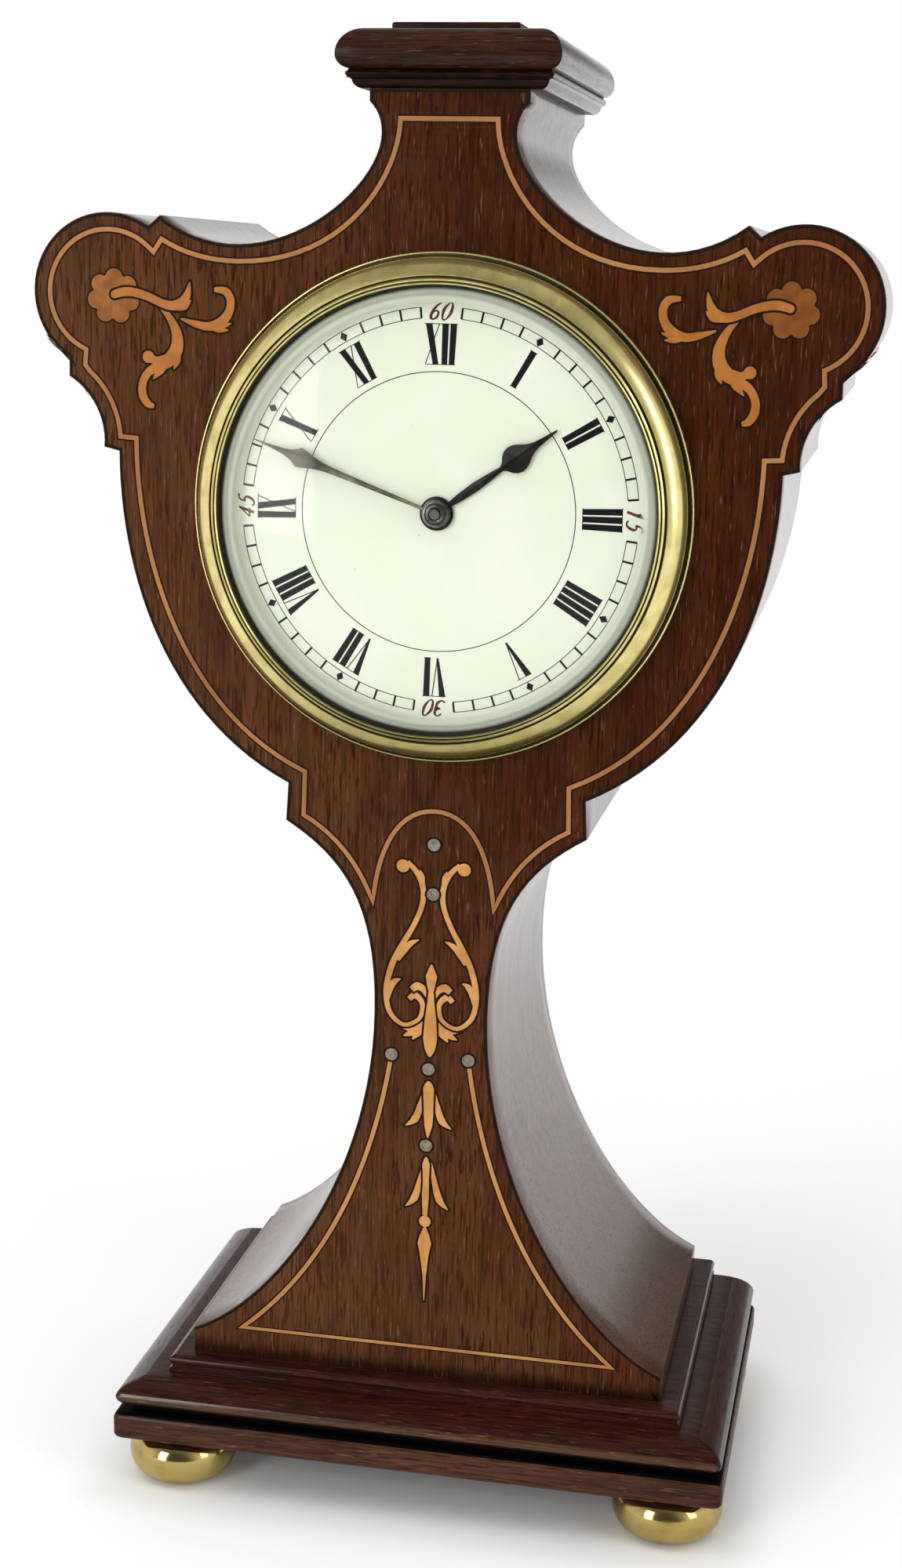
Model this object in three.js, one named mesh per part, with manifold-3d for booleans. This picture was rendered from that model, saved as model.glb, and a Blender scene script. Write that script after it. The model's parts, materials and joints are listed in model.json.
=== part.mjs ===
// Inlaid mahogany balloon mantel clock with a back-wound lever movement.
// Millimetres, +Z up, +Y towards the back. The origin is on the table, under the middle of the base.

import * as THREE from 'three';
import { mergeVertices } from 'three/addons/utils/BufferGeometryUtils.js';
import Module from 'manifold-3d';

const wasm = await Module();
wasm.setup();

// Heights, from the table up to the dial centre
const FOOT_HEIGHT = 11.1;
const BASE_PLATE_HEIGHT = 5.8;
const FILLET_HEIGHT = 1.4;
const PLINTH_MOULDING_HEIGHT = 5.1;
const PLINTH_STEP_HEIGHT = 3.5;
const DIAL_RISE = 176.9;

// Base: half widths, and how far each piece stands in front of the case front
const BASE_HALF_WIDTH = 62.8;
const BASE_FRONT = 12.2;
const BASE_DEPTH = 85;
const BASE_EDGE_ROUND = 0.8;
const MOULDING_INSET = 0.4;
const MOULDING_NOSE_ROUND = 2.1;
const MOULDING_TOP_FALL = 1.1;
const MOULDING_THUMB_PULL = 0.9;
const FILLET_INSET = 3.2;
const STEP_HALF_WIDTH = 53.1;
const STEP_FRONT = 4;
const STEP_BEAD_ROUND = 0.9;
const FOOT_RADIUS = 11.2;
const FOOT_WIDEST_HEIGHT = 5.4;
const FOOT_SOLE_RADIUS = 4.6;
const FOOT_NECK_RADIUS = 7.5;
const FOOT_EDGE_GAP = 0.5;

// Cap on the neck of the case
const CAP_STEP_HEIGHT = 1.68;
const CAP_LOWER_STEP_HALF_WIDTH = 16.7;
const CAP_UPPER_STEP_HALF_WIDTH = 19.4;
const CAP_STEP_FRONT = 1.5;
const CAP_SLAB_HALF_WIDTH = 21;
const CAP_SLAB_FRONT = 3.1;
const CAP_SLAB_HEIGHT = 7.3;
const CAP_SLAB_UNDER_ROUND = 2.4;
const CAP_PLATE_HALF_WIDTH = 12;
const CAP_PLATE_SETBACK = 4.4;
const CAP_PLATE_HEIGHT = 1.4;
const CAP_PLATE_EDGE = 0.5;

// Case outline, measured sideways and up or down from the dial centre
const TOE_HALF_WIDTH = 48.8;
const TOE_HEIGHT = 5.2;
const WAIST_HALF_WIDTH = 11.45;
const WAIST_DROP = 99.5;
const TRUNK_LOWER_PULL = 35.8;
const TRUNK_TOE_PULL = 17.6;
const TRUNK_TOE_SLOPE = 22.3;
const TRUNK_UPPER_PULL = 22.1;
const TRUNK_SHOULDER_PULL = 13.5;
const TRUNK_SHOULDER_SLOPE = 30.7;
const SHOULDER_HALF_WIDTH = 29.9;
const SHOULDER_LOW_DROP = 61.9;
const SHOULDER_STEP = 7.5;
const BOWL_FLOOR_HALF_WIDTH = 29.5;
const BOWL_FLOOR_PULL = 27.7;
const BOWL_FLOOR_SLOPE = 25.8;
const BOWL_HALF_WIDTH = 63.75;
const BOWL_TOP_RISE = 9.1;
const BOWL_SIDE_PULL = 24;
const EAR_COVE_STEP = 2.95;
const EAR_COVE_RISE = 11;
const EAR_COVE_RADIUS = 14;
const EAR_COVE_FOOT_DROP = 1.2;
const EAR_COVE_SPREAD = 7;
const EAR_LOBE_INSET = 8;
const EAR_LOBE_RISE = 39.2;
const EAR_LOBE_RADIUS = 14.9;
const EAR_LOBE_HEAD_INSET = 8.1;
const SPUR_STEP = 2.2;
const SPUR_RISE = 53.6;
const SPUR_PULL = 23.4;
const SPUR_SLOPE = 36.8;
const NECK_HALF_WIDTH = 12.65;
const NECK_RISE = 69;
const NECK_PULL = 10.9;
const NECK_TOP_HALF_WIDTH = 15;
const NECK_TOP_RISE = 76.94;
const NECK_FLARE_HEIGHT = 5.6;

// Case build
const CASE_DEPTH = 68;
const FRONT_BOARD = 7;
const BACK_BOARD = 6;

// Bezel, glass and dial, turned about the dial axis
const BEZEL_SIGHT_RADIUS = 42;
const BEZEL_BAND_WIDTH = 6;
const BEZEL_PROUD = 7.4;
const BEZEL_RIM_WIDTH = 1.1;
const BEZEL_RIM_PROUD = 1.9;
const BEZEL_GROOVE_DEPTH = 0.6;
const BEZEL_LIP_WIDTH = 1.7;
const BEZEL_LIP_DEPTH = 2.1;
const GLASS_EDGE = 1.2;
const GLASS_THICKNESS = 1.5;
const GLASS_BEVEL_WIDTH = 3.4;
const GLASS_BEVEL_RISE = 1.9;
const GLASS_SEAT_WIDTH = 1;
const GLASS_RISE = 1.9;
const SIGHT_RING_WIDTH = 1.5;
const SIGHT_RING_DEPTH = 1;
const DIAL_THICKNESS = 1.6;
const DIAL_DOME = 0.5;
const DIAL_HOLE_RADIUS = 3.1;

// Movement drum
const DRUM_RADIUS = 40;
const DRUM_WALL = 1;
const DRUM_LENGTH = 60;
const DRUM_FLANGE_MARGIN = 2.2;
const DRUM_LEDGE_WIDTH = 2.5;
const DRUM_LEDGE_THICKNESS = 1.5;

// Movement plates and pillars, by depth behind the case front
const FRONT_PLATE_DEPTH = 9;
const PLATE_THICKNESS = 2;
const PLATE_SPACE = 22;
const BACK_PLATE_RADIUS = 35;
const PILLAR_RADIUS = 2.4;
const PILLAR_WAIST_SHARE = 0.75;
const PILLAR_CIRCLE = 30.5;
const PILLAR_ANGLES = [45, 135, 238, 302];

// Going train: teeth and modules
const BARREL_TEETH = 48;
const BARREL_MODULE = 0.575;
const INTERMEDIATE_LEAVES = 8;
const INTERMEDIATE_TEETH = 40;
const INTERMEDIATE_MODULE = 0.62;
const CENTRE_LEAVES = 8;
const CENTRE_TEETH = 48;
const CENTRE_MODULE = 0.48;
const THIRD_LEAVES = 6;
const THIRD_TEETH = 45;
const THIRD_MODULE = 0.42;
const FOURTH_LEAVES = 6;
const FOURTH_TEETH = 48;
const FOURTH_MODULE = 0.375;
const ESCAPE_LEAVES = 6;
const ESCAPE_TEETH = 15;
const ESCAPE_RADIUS = 4.6;
const WHEEL_THICKNESS = 1;
const WHEEL_RIM = 1.3;
const WHEEL_HUB_RADIUS = 2.9;
const WHEEL_SPOKE = 1.5;
const WHEEL_CROSSINGS = 4;
const PINION_LENGTH = 2;

// Where the arbors stand: the barrel below the centre, the rest by compass from the one before
const BARREL_DROP = 19.5;
const THIRD_BEARING = 35;
const FOURTH_BEARING = 110;
const ESCAPE_BEARING = 170;
const ESCAPEMENT_BEARING = 205.8;

// How far behind the front plate each wheel runs
const BARREL_INSET = 1.5;
const BARREL_LENGTH = 12;
const BARREL_WALL = 0.8;
const BARREL_TEETH_THICKNESS = 1.8;
const BARREL_COVER = 1.3;
const INTERMEDIATE_INSET = 17;
const CENTRE_INSET = 19.3;
const THIRD_INSET = 9;
const FOURTH_INSET = 14;

// Arbors and running fits
const ARBOR_RADIUS = 0.75;
const PIVOT_RADIUS = 0.5;
const CENTRE_ARBOR_RADIUS = 1;
const RUNNING_FIT = 0.06;
const END_SHAKE = 0.25;
const SEAT_GAP = 0.3;

// Mainspring and winding work
const MAINSPRING_TURNS = 4;
const MAINSPRING_STRIP = 0.3;
const BARREL_HUB_RADIUS = 3.4;
const WINDING_SHAFT_RADIUS = 1.7;
const WINDING_SQUARE = 2.4;
const WINDING_SQUARE_LENGTH = 9;
const RATCHET_RADIUS = 6.2;
const RATCHET_TEETH = 20;
const RATCHET_TOOTH = 0.9;
const RATCHET_THICKNESS = 1.4;
const CLICK_BEARING = 35;
const CLICK_REACH = 10;
const CLICK_HUB_RADIUS = 1.9;
const CLICK_PIN_RADIUS = 0.8;
const CLICK_SPRING_STRIP = 0.5;
const KEY_HUB_RADIUS = 3;
const KEY_HUB_LENGTH = 10;
const KEY_WING_SPAN = 19;
const KEY_WING_LENGTH = 9;
const KEY_WING_THICKNESS = 2;
const KEY_WING_WAIST = 3.4;

// Motion work behind the dial
const CANNON_LEAVES = 8;
const MINUTE_WHEEL_TEETH = 24;
const MOTION_MODULE = 0.75;
const MINUTE_PINION_LEAVES = 8;
const HOUR_WHEEL_TEETH = 32;
const MOTION_BEARING = 150;
const CANNON_PIPE_RADIUS = 1.6;
const HOUR_PIPE_WALL = 0.6;
const MINUTE_WHEEL_INSET = 4.4;
const HOUR_WHEEL_INSET = 7.2;
const MINUTE_POST_RADIUS = 0.8;

// Hands
const HAND_THICKNESS = 0.5;
const HAND_SPACE = 0.3;
const HOUR_HAND_MARGIN = 14.4;
const HOUR_BOSS_RADIUS = 3.2;
const HOUR_STEM_HALF = 0.85;
const HOUR_NECK_HALF = 0.4;
const HOUR_PEAR_START = 16.2;
const HOUR_PEAR_HALF = 2.4;
const MINUTE_HAND_MARGIN = 4.6;
const MINUTE_BOSS_RADIUS = 2.7;
const MINUTE_STEM_HALF = 0.5;
const MINUTE_LOZENGE_START = 23.3;
const MINUTE_LOZENGE_HALF = 1.9;
const COLLET_RADIUS = 2.5;
const COLLET_THICKNESS = 0.8;
const SHOWN_HOUR = 1;
const SHOWN_MINUTE = 48.3;

// Set knob on the back of the centre arbor
const KNOB_RADIUS = 5;
const KNOB_THICKNESS = 4;
const KNOB_STANDOFF = 4;
const KNOB_FLUTES = 12;

// Lever escapement on its platform behind the back plate
const PLATFORM_THICKNESS = 1.2;
const PLATFORM_HALF_WIDTH = 8.6;
const PLATFORM_MARGIN = 6.5;
const PALLET_DISTANCE = 6.6;
const BALANCE_DISTANCE = 8.6;
const ESCAPE_WHEEL_LIFT = 1.8;
const ESCAPE_WHEEL_THICKNESS = 0.8;
const PALLET_SPREAD = 34;
const PALLET_GAP = 0.45;
const LEVER_HALF_WIDTH = 0.8;
const ROLLER_RADIUS = 1.5;
const FORK_GAP = 0.4;
const BRIDGE_LIFT = 4;
const BRIDGE_THICKNESS = 1.2;
const BRIDGE_HALF_WIDTH = 1.9;
const BALANCE_RADIUS = 7.4;
const BALANCE_RIM = 1;
const BALANCE_THICKNESS = 1.1;
const BALANCE_LIFT = 6;
const BALANCE_ARM_HALF = 0.7;
const HAIRSPRING_TURNS = 3;
const HAIRSPRING_INNER = 1.6;
const HAIRSPRING_OUTER = 5.4;
const HAIRSPRING_STRIP = 0.22;
const HAIRSPRING_HEIGHT = 0.6;
const HAIRSPRING_LIFT = 7.9;
const COCK_LIFT = 9.4;
const COCK_THICKNESS = 1.3;
const COCK_HALF_WIDTH = 2.4;
const COCK_FOOT_LENGTH = 3.4;
const INDEX_BOSS_RADIUS = 1.9;
const INDEX_RING_WIDTH = 1.1;
const INDEX_THICKNESS = 0.7;
const INDEX_REACH = 7.5;

// Back ring and hinged door
const BACK_RING_RADIUS = 44;
const BACK_RING_FLANGE = 1.2;
const BACK_RING_WALL = 1;
const BACK_SPIGOT_LENGTH = 5;
const DOOR_RADIUS = 43;
const DOOR_THICKNESS = 1.2;
const HINGE_OFFSET = 46;
const KNUCKLE_RADIUS = 1.5;
const KNUCKLE_LENGTH = 6;
const KNUCKLE_GAP = 0.3;
const HINGE_PIN_RADIUS = 0.7;
const DOOR_KNOB_RADIUS = 2.6;
const DOOR_KNOB_HEIGHT = 1.7;
const DOOR_KNOB_INSET = 6;

// Facets of round work
const ROUND_STEPS = 36;
const SMALL_STEPS = 16;
const PIN_STEPS = 8;
const CURVE_STEPS = 8;
const SPIRAL_STEPS = 12;

// Places that follow from the sizes above
const plateBottom = FOOT_HEIGHT;
const filletBottom = plateBottom + BASE_PLATE_HEIGHT;
const mouldingBottom = filletBottom + FILLET_HEIGHT;
const stepBottom = mouldingBottom + PLINTH_MOULDING_HEIGHT;
const caseBottom = stepBottom + PLINTH_STEP_HEIGHT;
const dialHeight = caseBottom + DIAL_RISE;
const neckTop = dialHeight + NECK_TOP_RISE;
const caseFront = BASE_FRONT - BASE_DEPTH / 2;
const caseBack = caseFront + CASE_DEPTH;
const baseBack = BASE_DEPTH / 2;
const backPlateDepth = FRONT_PLATE_DEPTH + PLATE_THICKNESS + PLATE_SPACE;
const trainDepth = FRONT_PLATE_DEPTH + PLATE_THICKNESS;
const platformDepth = backPlateDepth + PLATE_THICKNESS;

const radians = THREE.MathUtils.degToRad;
const point = (x, y) => new THREE.Vector2(x, y);
const bearing = (degrees, length) => point(length, 0).rotateAround(point(0, 0), radians(degrees));
const roundHole = (radius, steps) => radius / Math.cos(Math.PI / steps);

// Colours and finishes
const finish = (color, roughness, metalness) => () =>
  new THREE.MeshStandardMaterial({ color, roughness, metalness });
const mahogany = finish(0x4a2a1c, 0.32, 0);
const darkMahogany = finish(0x40180f, 0.25, 0);
const ebonised = finish(0x0d0a09, 0.4, 0);
const brass = finish(0xb99a4b, 0.22, 1);
const steel = finish(0x6d7074, 0.3, 1);
const bluedSteel = finish(0x23241f, 0.35, 0.9);
const enamel = finish(0xeef2e0, 0.18, 0);
const clearGlass = () => new THREE.MeshStandardMaterial({
  color: 0xf4f8f8, roughness: 0.03, metalness: 0, transparent: true, opacity: 0.2,
});

// Makes a mesh one closed body: merged corners, no empty triangles, faces outwards
function closed(geometry) {
  const bare = new THREE.BufferGeometry();
  bare.setAttribute('position', geometry.getAttribute('position').clone());
  if (geometry.index) {
    bare.setIndex(geometry.index.clone());
  }
  const merged = mergeVertices(bare, 1e-4);
  const position = merged.getAttribute('position');
  const corners = [0, 1, 2].map(() => new THREE.Vector3());
  const kept = [];
  let volume = 0;
  for (let i = 0; i < merged.index.count; i += 3) {
    const ids = [0, 1, 2].map((k) => merged.index.getX(i + k));
    if (new Set(ids).size === 3) {
      kept.push(ids);
      ids.forEach((id, k) => corners[k].fromBufferAttribute(position, id));
      volume += corners[0].dot(corners[1].cross(corners[2]));
    }
  }
  merged.setIndex(kept.flatMap(([a, b, c]) => (volume > 0 ? [a, b, c] : [a, c, b])));
  return merged;
}

function toSolid(geometry) {
  const mesh = closed(geometry);
  const vertProperties = new Float32Array(mesh.getAttribute('position').array);
  const triVerts = new Uint32Array(mesh.index.array);
  return new wasm.Manifold(new wasm.Mesh({ numProp: 3, vertProperties, triVerts }));
}

function toGeometry(solid) {
  const mesh = solid.getMesh();
  const geometry = new THREE.BufferGeometry();
  geometry.setAttribute('position', new THREE.Float32BufferAttribute(mesh.vertProperties, 3));
  geometry.setIndex(new THREE.Uint32BufferAttribute(mesh.triVerts, 1));
  return geometry;
}

function join(...geometries) {
  return toGeometry(geometries.map(toSolid).reduce((whole, next) => whole.add(next)));
}

function cut(geometry, ...tools) {
  return toGeometry(tools.map(toSolid).reduce((rest, tool) => rest.subtract(tool), toSolid(geometry)));
}

// A flat piece parallel to the dial, between two depths
function plate(shape, front, back) {
  const geometry = new THREE.ExtrudeGeometry(shape, {
    depth: back - front, bevelEnabled: false, curveSegments: CURVE_STEPS,
  });
  return geometry.rotateX(Math.PI / 2).translate(0, back, 0);
}

// A turned piece on the dial axis, or on a parallel axis at a place; points are radius and depth
function turned(profile, steps, at = point(0, 0)) {
  const points = profile.map(([radius, depth]) => point(radius, depth));
  return closed(new THREE.LatheGeometry(points, steps)).translate(at.x, 0, at.y);
}

function rod(radius, front, back, at, steps = PIN_STEPS) {
  return turned([[0, front], [radius, front], [radius, back], [0, back]], steps, at);
}

function ring(inner, outer, front, back, at, steps = ROUND_STEPS) {
  const profile = [[inner, front], [outer, front], [outer, back], [inner, back], [inner, front]];
  return turned(profile, steps, at);
}

function circlePoints(radius, steps, at = point(0, 0)) {
  const points = [];
  for (let i = 0; i < steps; i += 1) {
    points.push(bearing((360 * i) / steps, radius).add(at));
  }
  return points;
}

function block(xLow, xHigh, yLow, yHigh, zLow, zHigh) {
  const box = new THREE.BoxGeometry(xHigh - xLow, yHigh - yLow, zHigh - zLow);
  return box.translate((xLow + xHigh) / 2, (yLow + yHigh) / 2, (zLow + zHigh) / 2);
}

// A slab with a moulded edge mitred round its front and two sides; its back is flat.
// The profile gives, from the bottom up, how far each height is set in from the edge.
function mouldedSlab(halfWidth, front, back, profile) {
  const vertices = [];
  const faces = [];
  for (const [inset, height] of profile) {
    const x = halfWidth - inset;
    const y = front + inset;
    vertices.push(-x, y, height, x, y, height, x, back, height, -x, back, height);
  }
  const last = (profile.length - 1) * 4;
  faces.push(0, 2, 1, 0, 3, 2, last, last + 1, last + 2, last, last + 2, last + 3);
  for (let level = 0; level < last; level += 4) {
    for (let side = 0; side < 4; side += 1) {
      const a = level + side;
      const b = level + ((side + 1) % 4);
      faces.push(a, b, b + 4, a, b + 4, a + 4);
    }
  }
  const geometry = new THREE.BufferGeometry();
  geometry.setAttribute('position', new THREE.Float32BufferAttribute(vertices, 3));
  geometry.setIndex(faces);
  return geometry;
}

// Points of a quarter round, for a moulded profile: from one angle to another on a radius
function roundProfile(inset, height, radius, fromDegrees, toDegrees, steps) {
  const points = [];
  for (let i = 0; i <= steps; i += 1) {
    const turn = bearing(fromDegrees + ((toDegrees - fromDegrees) * i) / steps, radius);
    points.push([inset - turn.x, height + turn.y]);
  }
  return points;
}

// Scene graph: the case stands on the base, and the head group has its origin at the dial centre
const clock = new THREE.Group();
const head = new THREE.Group();
head.position.set(0, caseFront, dialHeight);
clock.add(head);

function piece(group, name, geometry, makeMaterial) {
  const mesh = new THREE.Mesh(closed(geometry), makeMaterial());
  mesh.name = name;
  group.add(mesh);
}

// Base: brass bun feet, a plate, a dark fillet, and a moulding and step on three sides
function bunFoot() {
  const lower = [];
  const sole = Math.asin(FOOT_SOLE_RADIUS / FOOT_RADIUS);
  const drop = FOOT_WIDEST_HEIGHT / Math.cos(sole);
  const steps = 4;
  for (let i = 0; i <= steps; i += 1) {
    const turn = sole + ((Math.PI / 2 - sole) * i) / steps;
    lower.push(point(FOOT_RADIUS * Math.sin(turn), FOOT_WIDEST_HEIGHT - drop * Math.cos(turn)));
  }
  const upper = new THREE.QuadraticBezierCurve(
    point(FOOT_RADIUS, FOOT_WIDEST_HEIGHT),
    point(FOOT_RADIUS, (FOOT_WIDEST_HEIGHT + FOOT_HEIGHT) / 2),
    point(FOOT_NECK_RADIUS, FOOT_HEIGHT),
  ).getPoints(2);
  const profile = [point(0, 0), ...lower, ...upper.slice(1), point(0, FOOT_HEIGHT)];
  return new THREE.LatheGeometry(profile, SMALL_STEPS).rotateX(Math.PI / 2);
}

const footOut = BASE_HALF_WIDTH - FOOT_RADIUS - FOOT_EDGE_GAP;
const footAlong = BASE_DEPTH / 2 - FOOT_RADIUS - FOOT_EDGE_GAP;
for (const [end, along] of [['front', -footAlong], ['back', footAlong]]) {
  for (const [side, out] of [['left', -footOut], ['right', footOut]]) {
    piece(clock, `foot_${end}_${side}`, bunFoot().translate(out, along, 0), brass);
  }
}

const baseFrontEdge = -BASE_DEPTH / 2;
piece(clock, 'base_plate', mouldedSlab(BASE_HALF_WIDTH, baseFrontEdge, baseBack, [
  ...roundProfile(BASE_EDGE_ROUND, plateBottom + BASE_EDGE_ROUND, BASE_EDGE_ROUND, -90, 0, 3),
  ...roundProfile(BASE_EDGE_ROUND, filletBottom - BASE_EDGE_ROUND, BASE_EDGE_ROUND, 0, 90, 3),
]), darkMahogany);

piece(clock, 'plinth_fillet', mouldedSlab(BASE_HALF_WIDTH, baseFrontEdge, baseBack, [
  [FILLET_INSET, filletBottom],
  [FILLET_INSET, mouldingBottom],
]), ebonised);

const noseHeight = mouldingBottom + MOULDING_NOSE_ROUND;
const mouldingHalfWidth = BASE_HALF_WIDTH - MOULDING_INSET;
const mouldingThumb = new THREE.QuadraticBezierCurve(
  point(0, noseHeight),
  point(MOULDING_THUMB_PULL, stepBottom),
  point(mouldingHalfWidth - STEP_HALF_WIDTH - MOULDING_TOP_FALL, stepBottom),
).getPoints(6);
piece(clock, 'plinth_moulding', mouldedSlab(mouldingHalfWidth, baseFrontEdge + MOULDING_INSET, baseBack, [
  [MOULDING_NOSE_ROUND, mouldingBottom],
  ...roundProfile(MOULDING_NOSE_ROUND, noseHeight, MOULDING_NOSE_ROUND, -60, 0, 3),
  ...mouldingThumb.slice(1).map((spot) => [spot.x, spot.y]),
]), darkMahogany);

piece(clock, 'plinth_step', mouldedSlab(STEP_HALF_WIDTH, caseFront - STEP_FRONT, baseBack, [
  [0, stepBottom],
  ...roundProfile(STEP_BEAD_ROUND, caseBottom - STEP_BEAD_ROUND, STEP_BEAD_ROUND, 0, 90, 3),
]), darkMahogany);

// Cap: a moulding of a quarter round and a square bead on the neck, a thumb-moulded slab and a raised plate
const capStepTop = neckTop + 2 * CAP_STEP_HEIGHT;
const capSlabTop = capStepTop + CAP_SLAB_HEIGHT;
const capStepInset = CAP_UPPER_STEP_HALF_WIDTH - CAP_LOWER_STEP_HALF_WIDTH;
piece(clock, 'cap_moulding', mouldedSlab(CAP_UPPER_STEP_HALF_WIDTH, caseFront - CAP_STEP_FRONT, caseBack, [
  ...roundProfile(capStepInset, neckTop + CAP_STEP_HEIGHT, CAP_STEP_HEIGHT, -90, 0, 4),
  [0, neckTop + CAP_STEP_HEIGHT],
  [0, capStepTop],
]), darkMahogany);

const capNoseHeight = capStepTop + CAP_SLAB_UNDER_ROUND;
const capTopRound = CAP_SLAB_HEIGHT - CAP_SLAB_UNDER_ROUND;
piece(clock, 'cap_slab', mouldedSlab(CAP_SLAB_HALF_WIDTH, caseFront - CAP_SLAB_FRONT, caseBack, [
  ...roundProfile(CAP_SLAB_UNDER_ROUND, capNoseHeight, CAP_SLAB_UNDER_ROUND, -90, 0, 3),
  ...roundProfile(capTopRound, capNoseHeight, capTopRound, 0, 90, 5).slice(1),
]), darkMahogany);

piece(clock, 'cap_plate', mouldedSlab(CAP_PLATE_HALF_WIDTH, caseFront + CAP_PLATE_SETBACK,
  caseBack - CAP_PLATE_SETBACK, [
    [0, capSlabTop],
    [0, capSlabTop + CAP_PLATE_HEIGHT - CAP_PLATE_EDGE],
    [CAP_PLATE_EDGE, capSlabTop + CAP_PLATE_HEIGHT],
  ]), darkMahogany);

// Case: one outline for the front board, the core and the back board
function outlineHalf() {
  const toe = point(TOE_HALF_WIDTH, -DIAL_RISE + TOE_HEIGHT);
  const waist = point(WAIST_HALF_WIDTH, -WAIST_DROP);
  const shoulder = point(SHOULDER_HALF_WIDTH, -SHOULDER_LOW_DROP);
  const bowlFloor = point(BOWL_FLOOR_HALF_WIDTH, -SHOULDER_LOW_DROP + SHOULDER_STEP);
  const bowlTop = point(BOWL_HALF_WIDTH, BOWL_TOP_RISE);
  const coveFootOut = BOWL_HALF_WIDTH + EAR_COVE_STEP;
  const coveOut = coveFootOut + EAR_COVE_RADIUS;
  const coveHeadOut = coveFootOut + EAR_COVE_SPREAD;
  const lobeOut = coveHeadOut - EAR_LOBE_INSET;
  const lobeHeadOut = lobeOut - EAR_LOBE_HEAD_INSET;
  const spur = point(lobeHeadOut - SPUR_STEP, SPUR_RISE);
  const neck = point(NECK_HALF_WIDTH, NECK_RISE);
  const flareTop = point(NECK_TOP_HALF_WIDTH, NECK_RISE + NECK_FLARE_HEIGHT);

  const trunkLower = new THREE.CubicBezierCurve(
    toe,
    bearing(180 - TRUNK_TOE_SLOPE, TRUNK_TOE_PULL).add(toe),
    point(WAIST_HALF_WIDTH, -WAIST_DROP - TRUNK_LOWER_PULL),
    waist,
  );
  const trunkUpper = new THREE.CubicBezierCurve(
    waist,
    point(WAIST_HALF_WIDTH, -WAIST_DROP + TRUNK_UPPER_PULL),
    bearing(180 + TRUNK_SHOULDER_SLOPE, TRUNK_SHOULDER_PULL).add(shoulder),
    shoulder,
  );
  const bowl = new THREE.CubicBezierCurve(
    bowlFloor,
    bearing(BOWL_FLOOR_SLOPE, BOWL_FLOOR_PULL).add(bowlFloor),
    point(BOWL_HALF_WIDTH, BOWL_TOP_RISE - BOWL_SIDE_PULL),
    bowlTop,
  );
  const coveFoot = Math.PI + Math.asin(EAR_COVE_FOOT_DROP / EAR_COVE_RADIUS);
  const coveHead = Math.acos((coveHeadOut - coveOut) / EAR_COVE_RADIUS);
  const cove = new THREE.EllipseCurve(coveOut, EAR_COVE_RISE, EAR_COVE_RADIUS, EAR_COVE_RADIUS,
    coveFoot, coveHead, true);
  const lobeFoot = -Math.acos(EAR_LOBE_INSET / EAR_LOBE_RADIUS);
  const lobeHead = Math.acos(-EAR_LOBE_HEAD_INSET / EAR_LOBE_RADIUS);
  const lobe = new THREE.EllipseCurve(lobeOut, EAR_LOBE_RISE, EAR_LOBE_RADIUS, EAR_LOBE_RADIUS,
    lobeFoot, lobeHead, false);
  const topSweep = new THREE.CubicBezierCurve(
    spur,
    bearing(180 + SPUR_SLOPE, SPUR_PULL).add(spur),
    point(NECK_HALF_WIDTH, NECK_RISE - NECK_PULL),
    neck,
  );
  const flare = new THREE.QuadraticBezierCurve(
    neck,
    point(NECK_HALF_WIDTH, NECK_RISE + NECK_FLARE_HEIGHT / 2),
    flareTop,
  );
  return [
    point(TOE_HALF_WIDTH, -DIAL_RISE),
    ...trunkLower.getPoints(CURVE_STEPS),
    ...trunkUpper.getPoints(CURVE_STEPS).slice(1),
    ...bowl.getPoints(CURVE_STEPS),
    ...cove.getPoints(CURVE_STEPS / 2),
    ...lobe.getPoints(CURVE_STEPS + 4),
    ...topSweep.getPoints(CURVE_STEPS),
    ...flare.getPoints(3).slice(1),
    point(NECK_TOP_HALF_WIDTH, NECK_TOP_RISE),
  ];
}

function caseBoard(holeRadius, front, back) {
  const right = outlineHalf();
  const left = right.map(({ x, y }) => point(-x, y)).reverse();
  const shape = new THREE.Shape([...right, ...left]);
  shape.holes.push(new THREE.Path(circlePoints(holeRadius, ROUND_STEPS)));
  return plate(shape, front, back);
}

const drumBore = roundHole(DRUM_RADIUS + SEAT_GAP, ROUND_STEPS);
const coreBack = CASE_DEPTH - BACK_BOARD;
piece(head, 'case_front', caseBoard(drumBore, 0, FRONT_BOARD), mahogany);
piece(head, 'case_core', caseBoard(drumBore, FRONT_BOARD, coreBack), mahogany);
piece(head, 'case_back', caseBoard(drumBore, coreBack, CASE_DEPTH), mahogany);

// Bezel, glass, sight ring and dial, stacked from the front
const lipBack = BEZEL_LIP_DEPTH - BEZEL_PROUD;
const glassBack = lipBack + GLASS_EDGE;
const sightRingBack = glassBack + SIGHT_RING_DEPTH;
const dialBack = sightRingBack + DIAL_THICKNESS;
const glassRadius = BEZEL_SIGHT_RADIUS + GLASS_SEAT_WIDTH;
const bezelRadius = BEZEL_SIGHT_RADIUS + BEZEL_BAND_WIDTH;
const drumFlangeRadius = glassRadius + DRUM_FLANGE_MARGIN;
const bezelRecess = roundHole(glassRadius + SEAT_GAP, ROUND_STEPS);
const flangeRecess = roundHole(drumFlangeRadius + SEAT_GAP, ROUND_STEPS);

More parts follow.
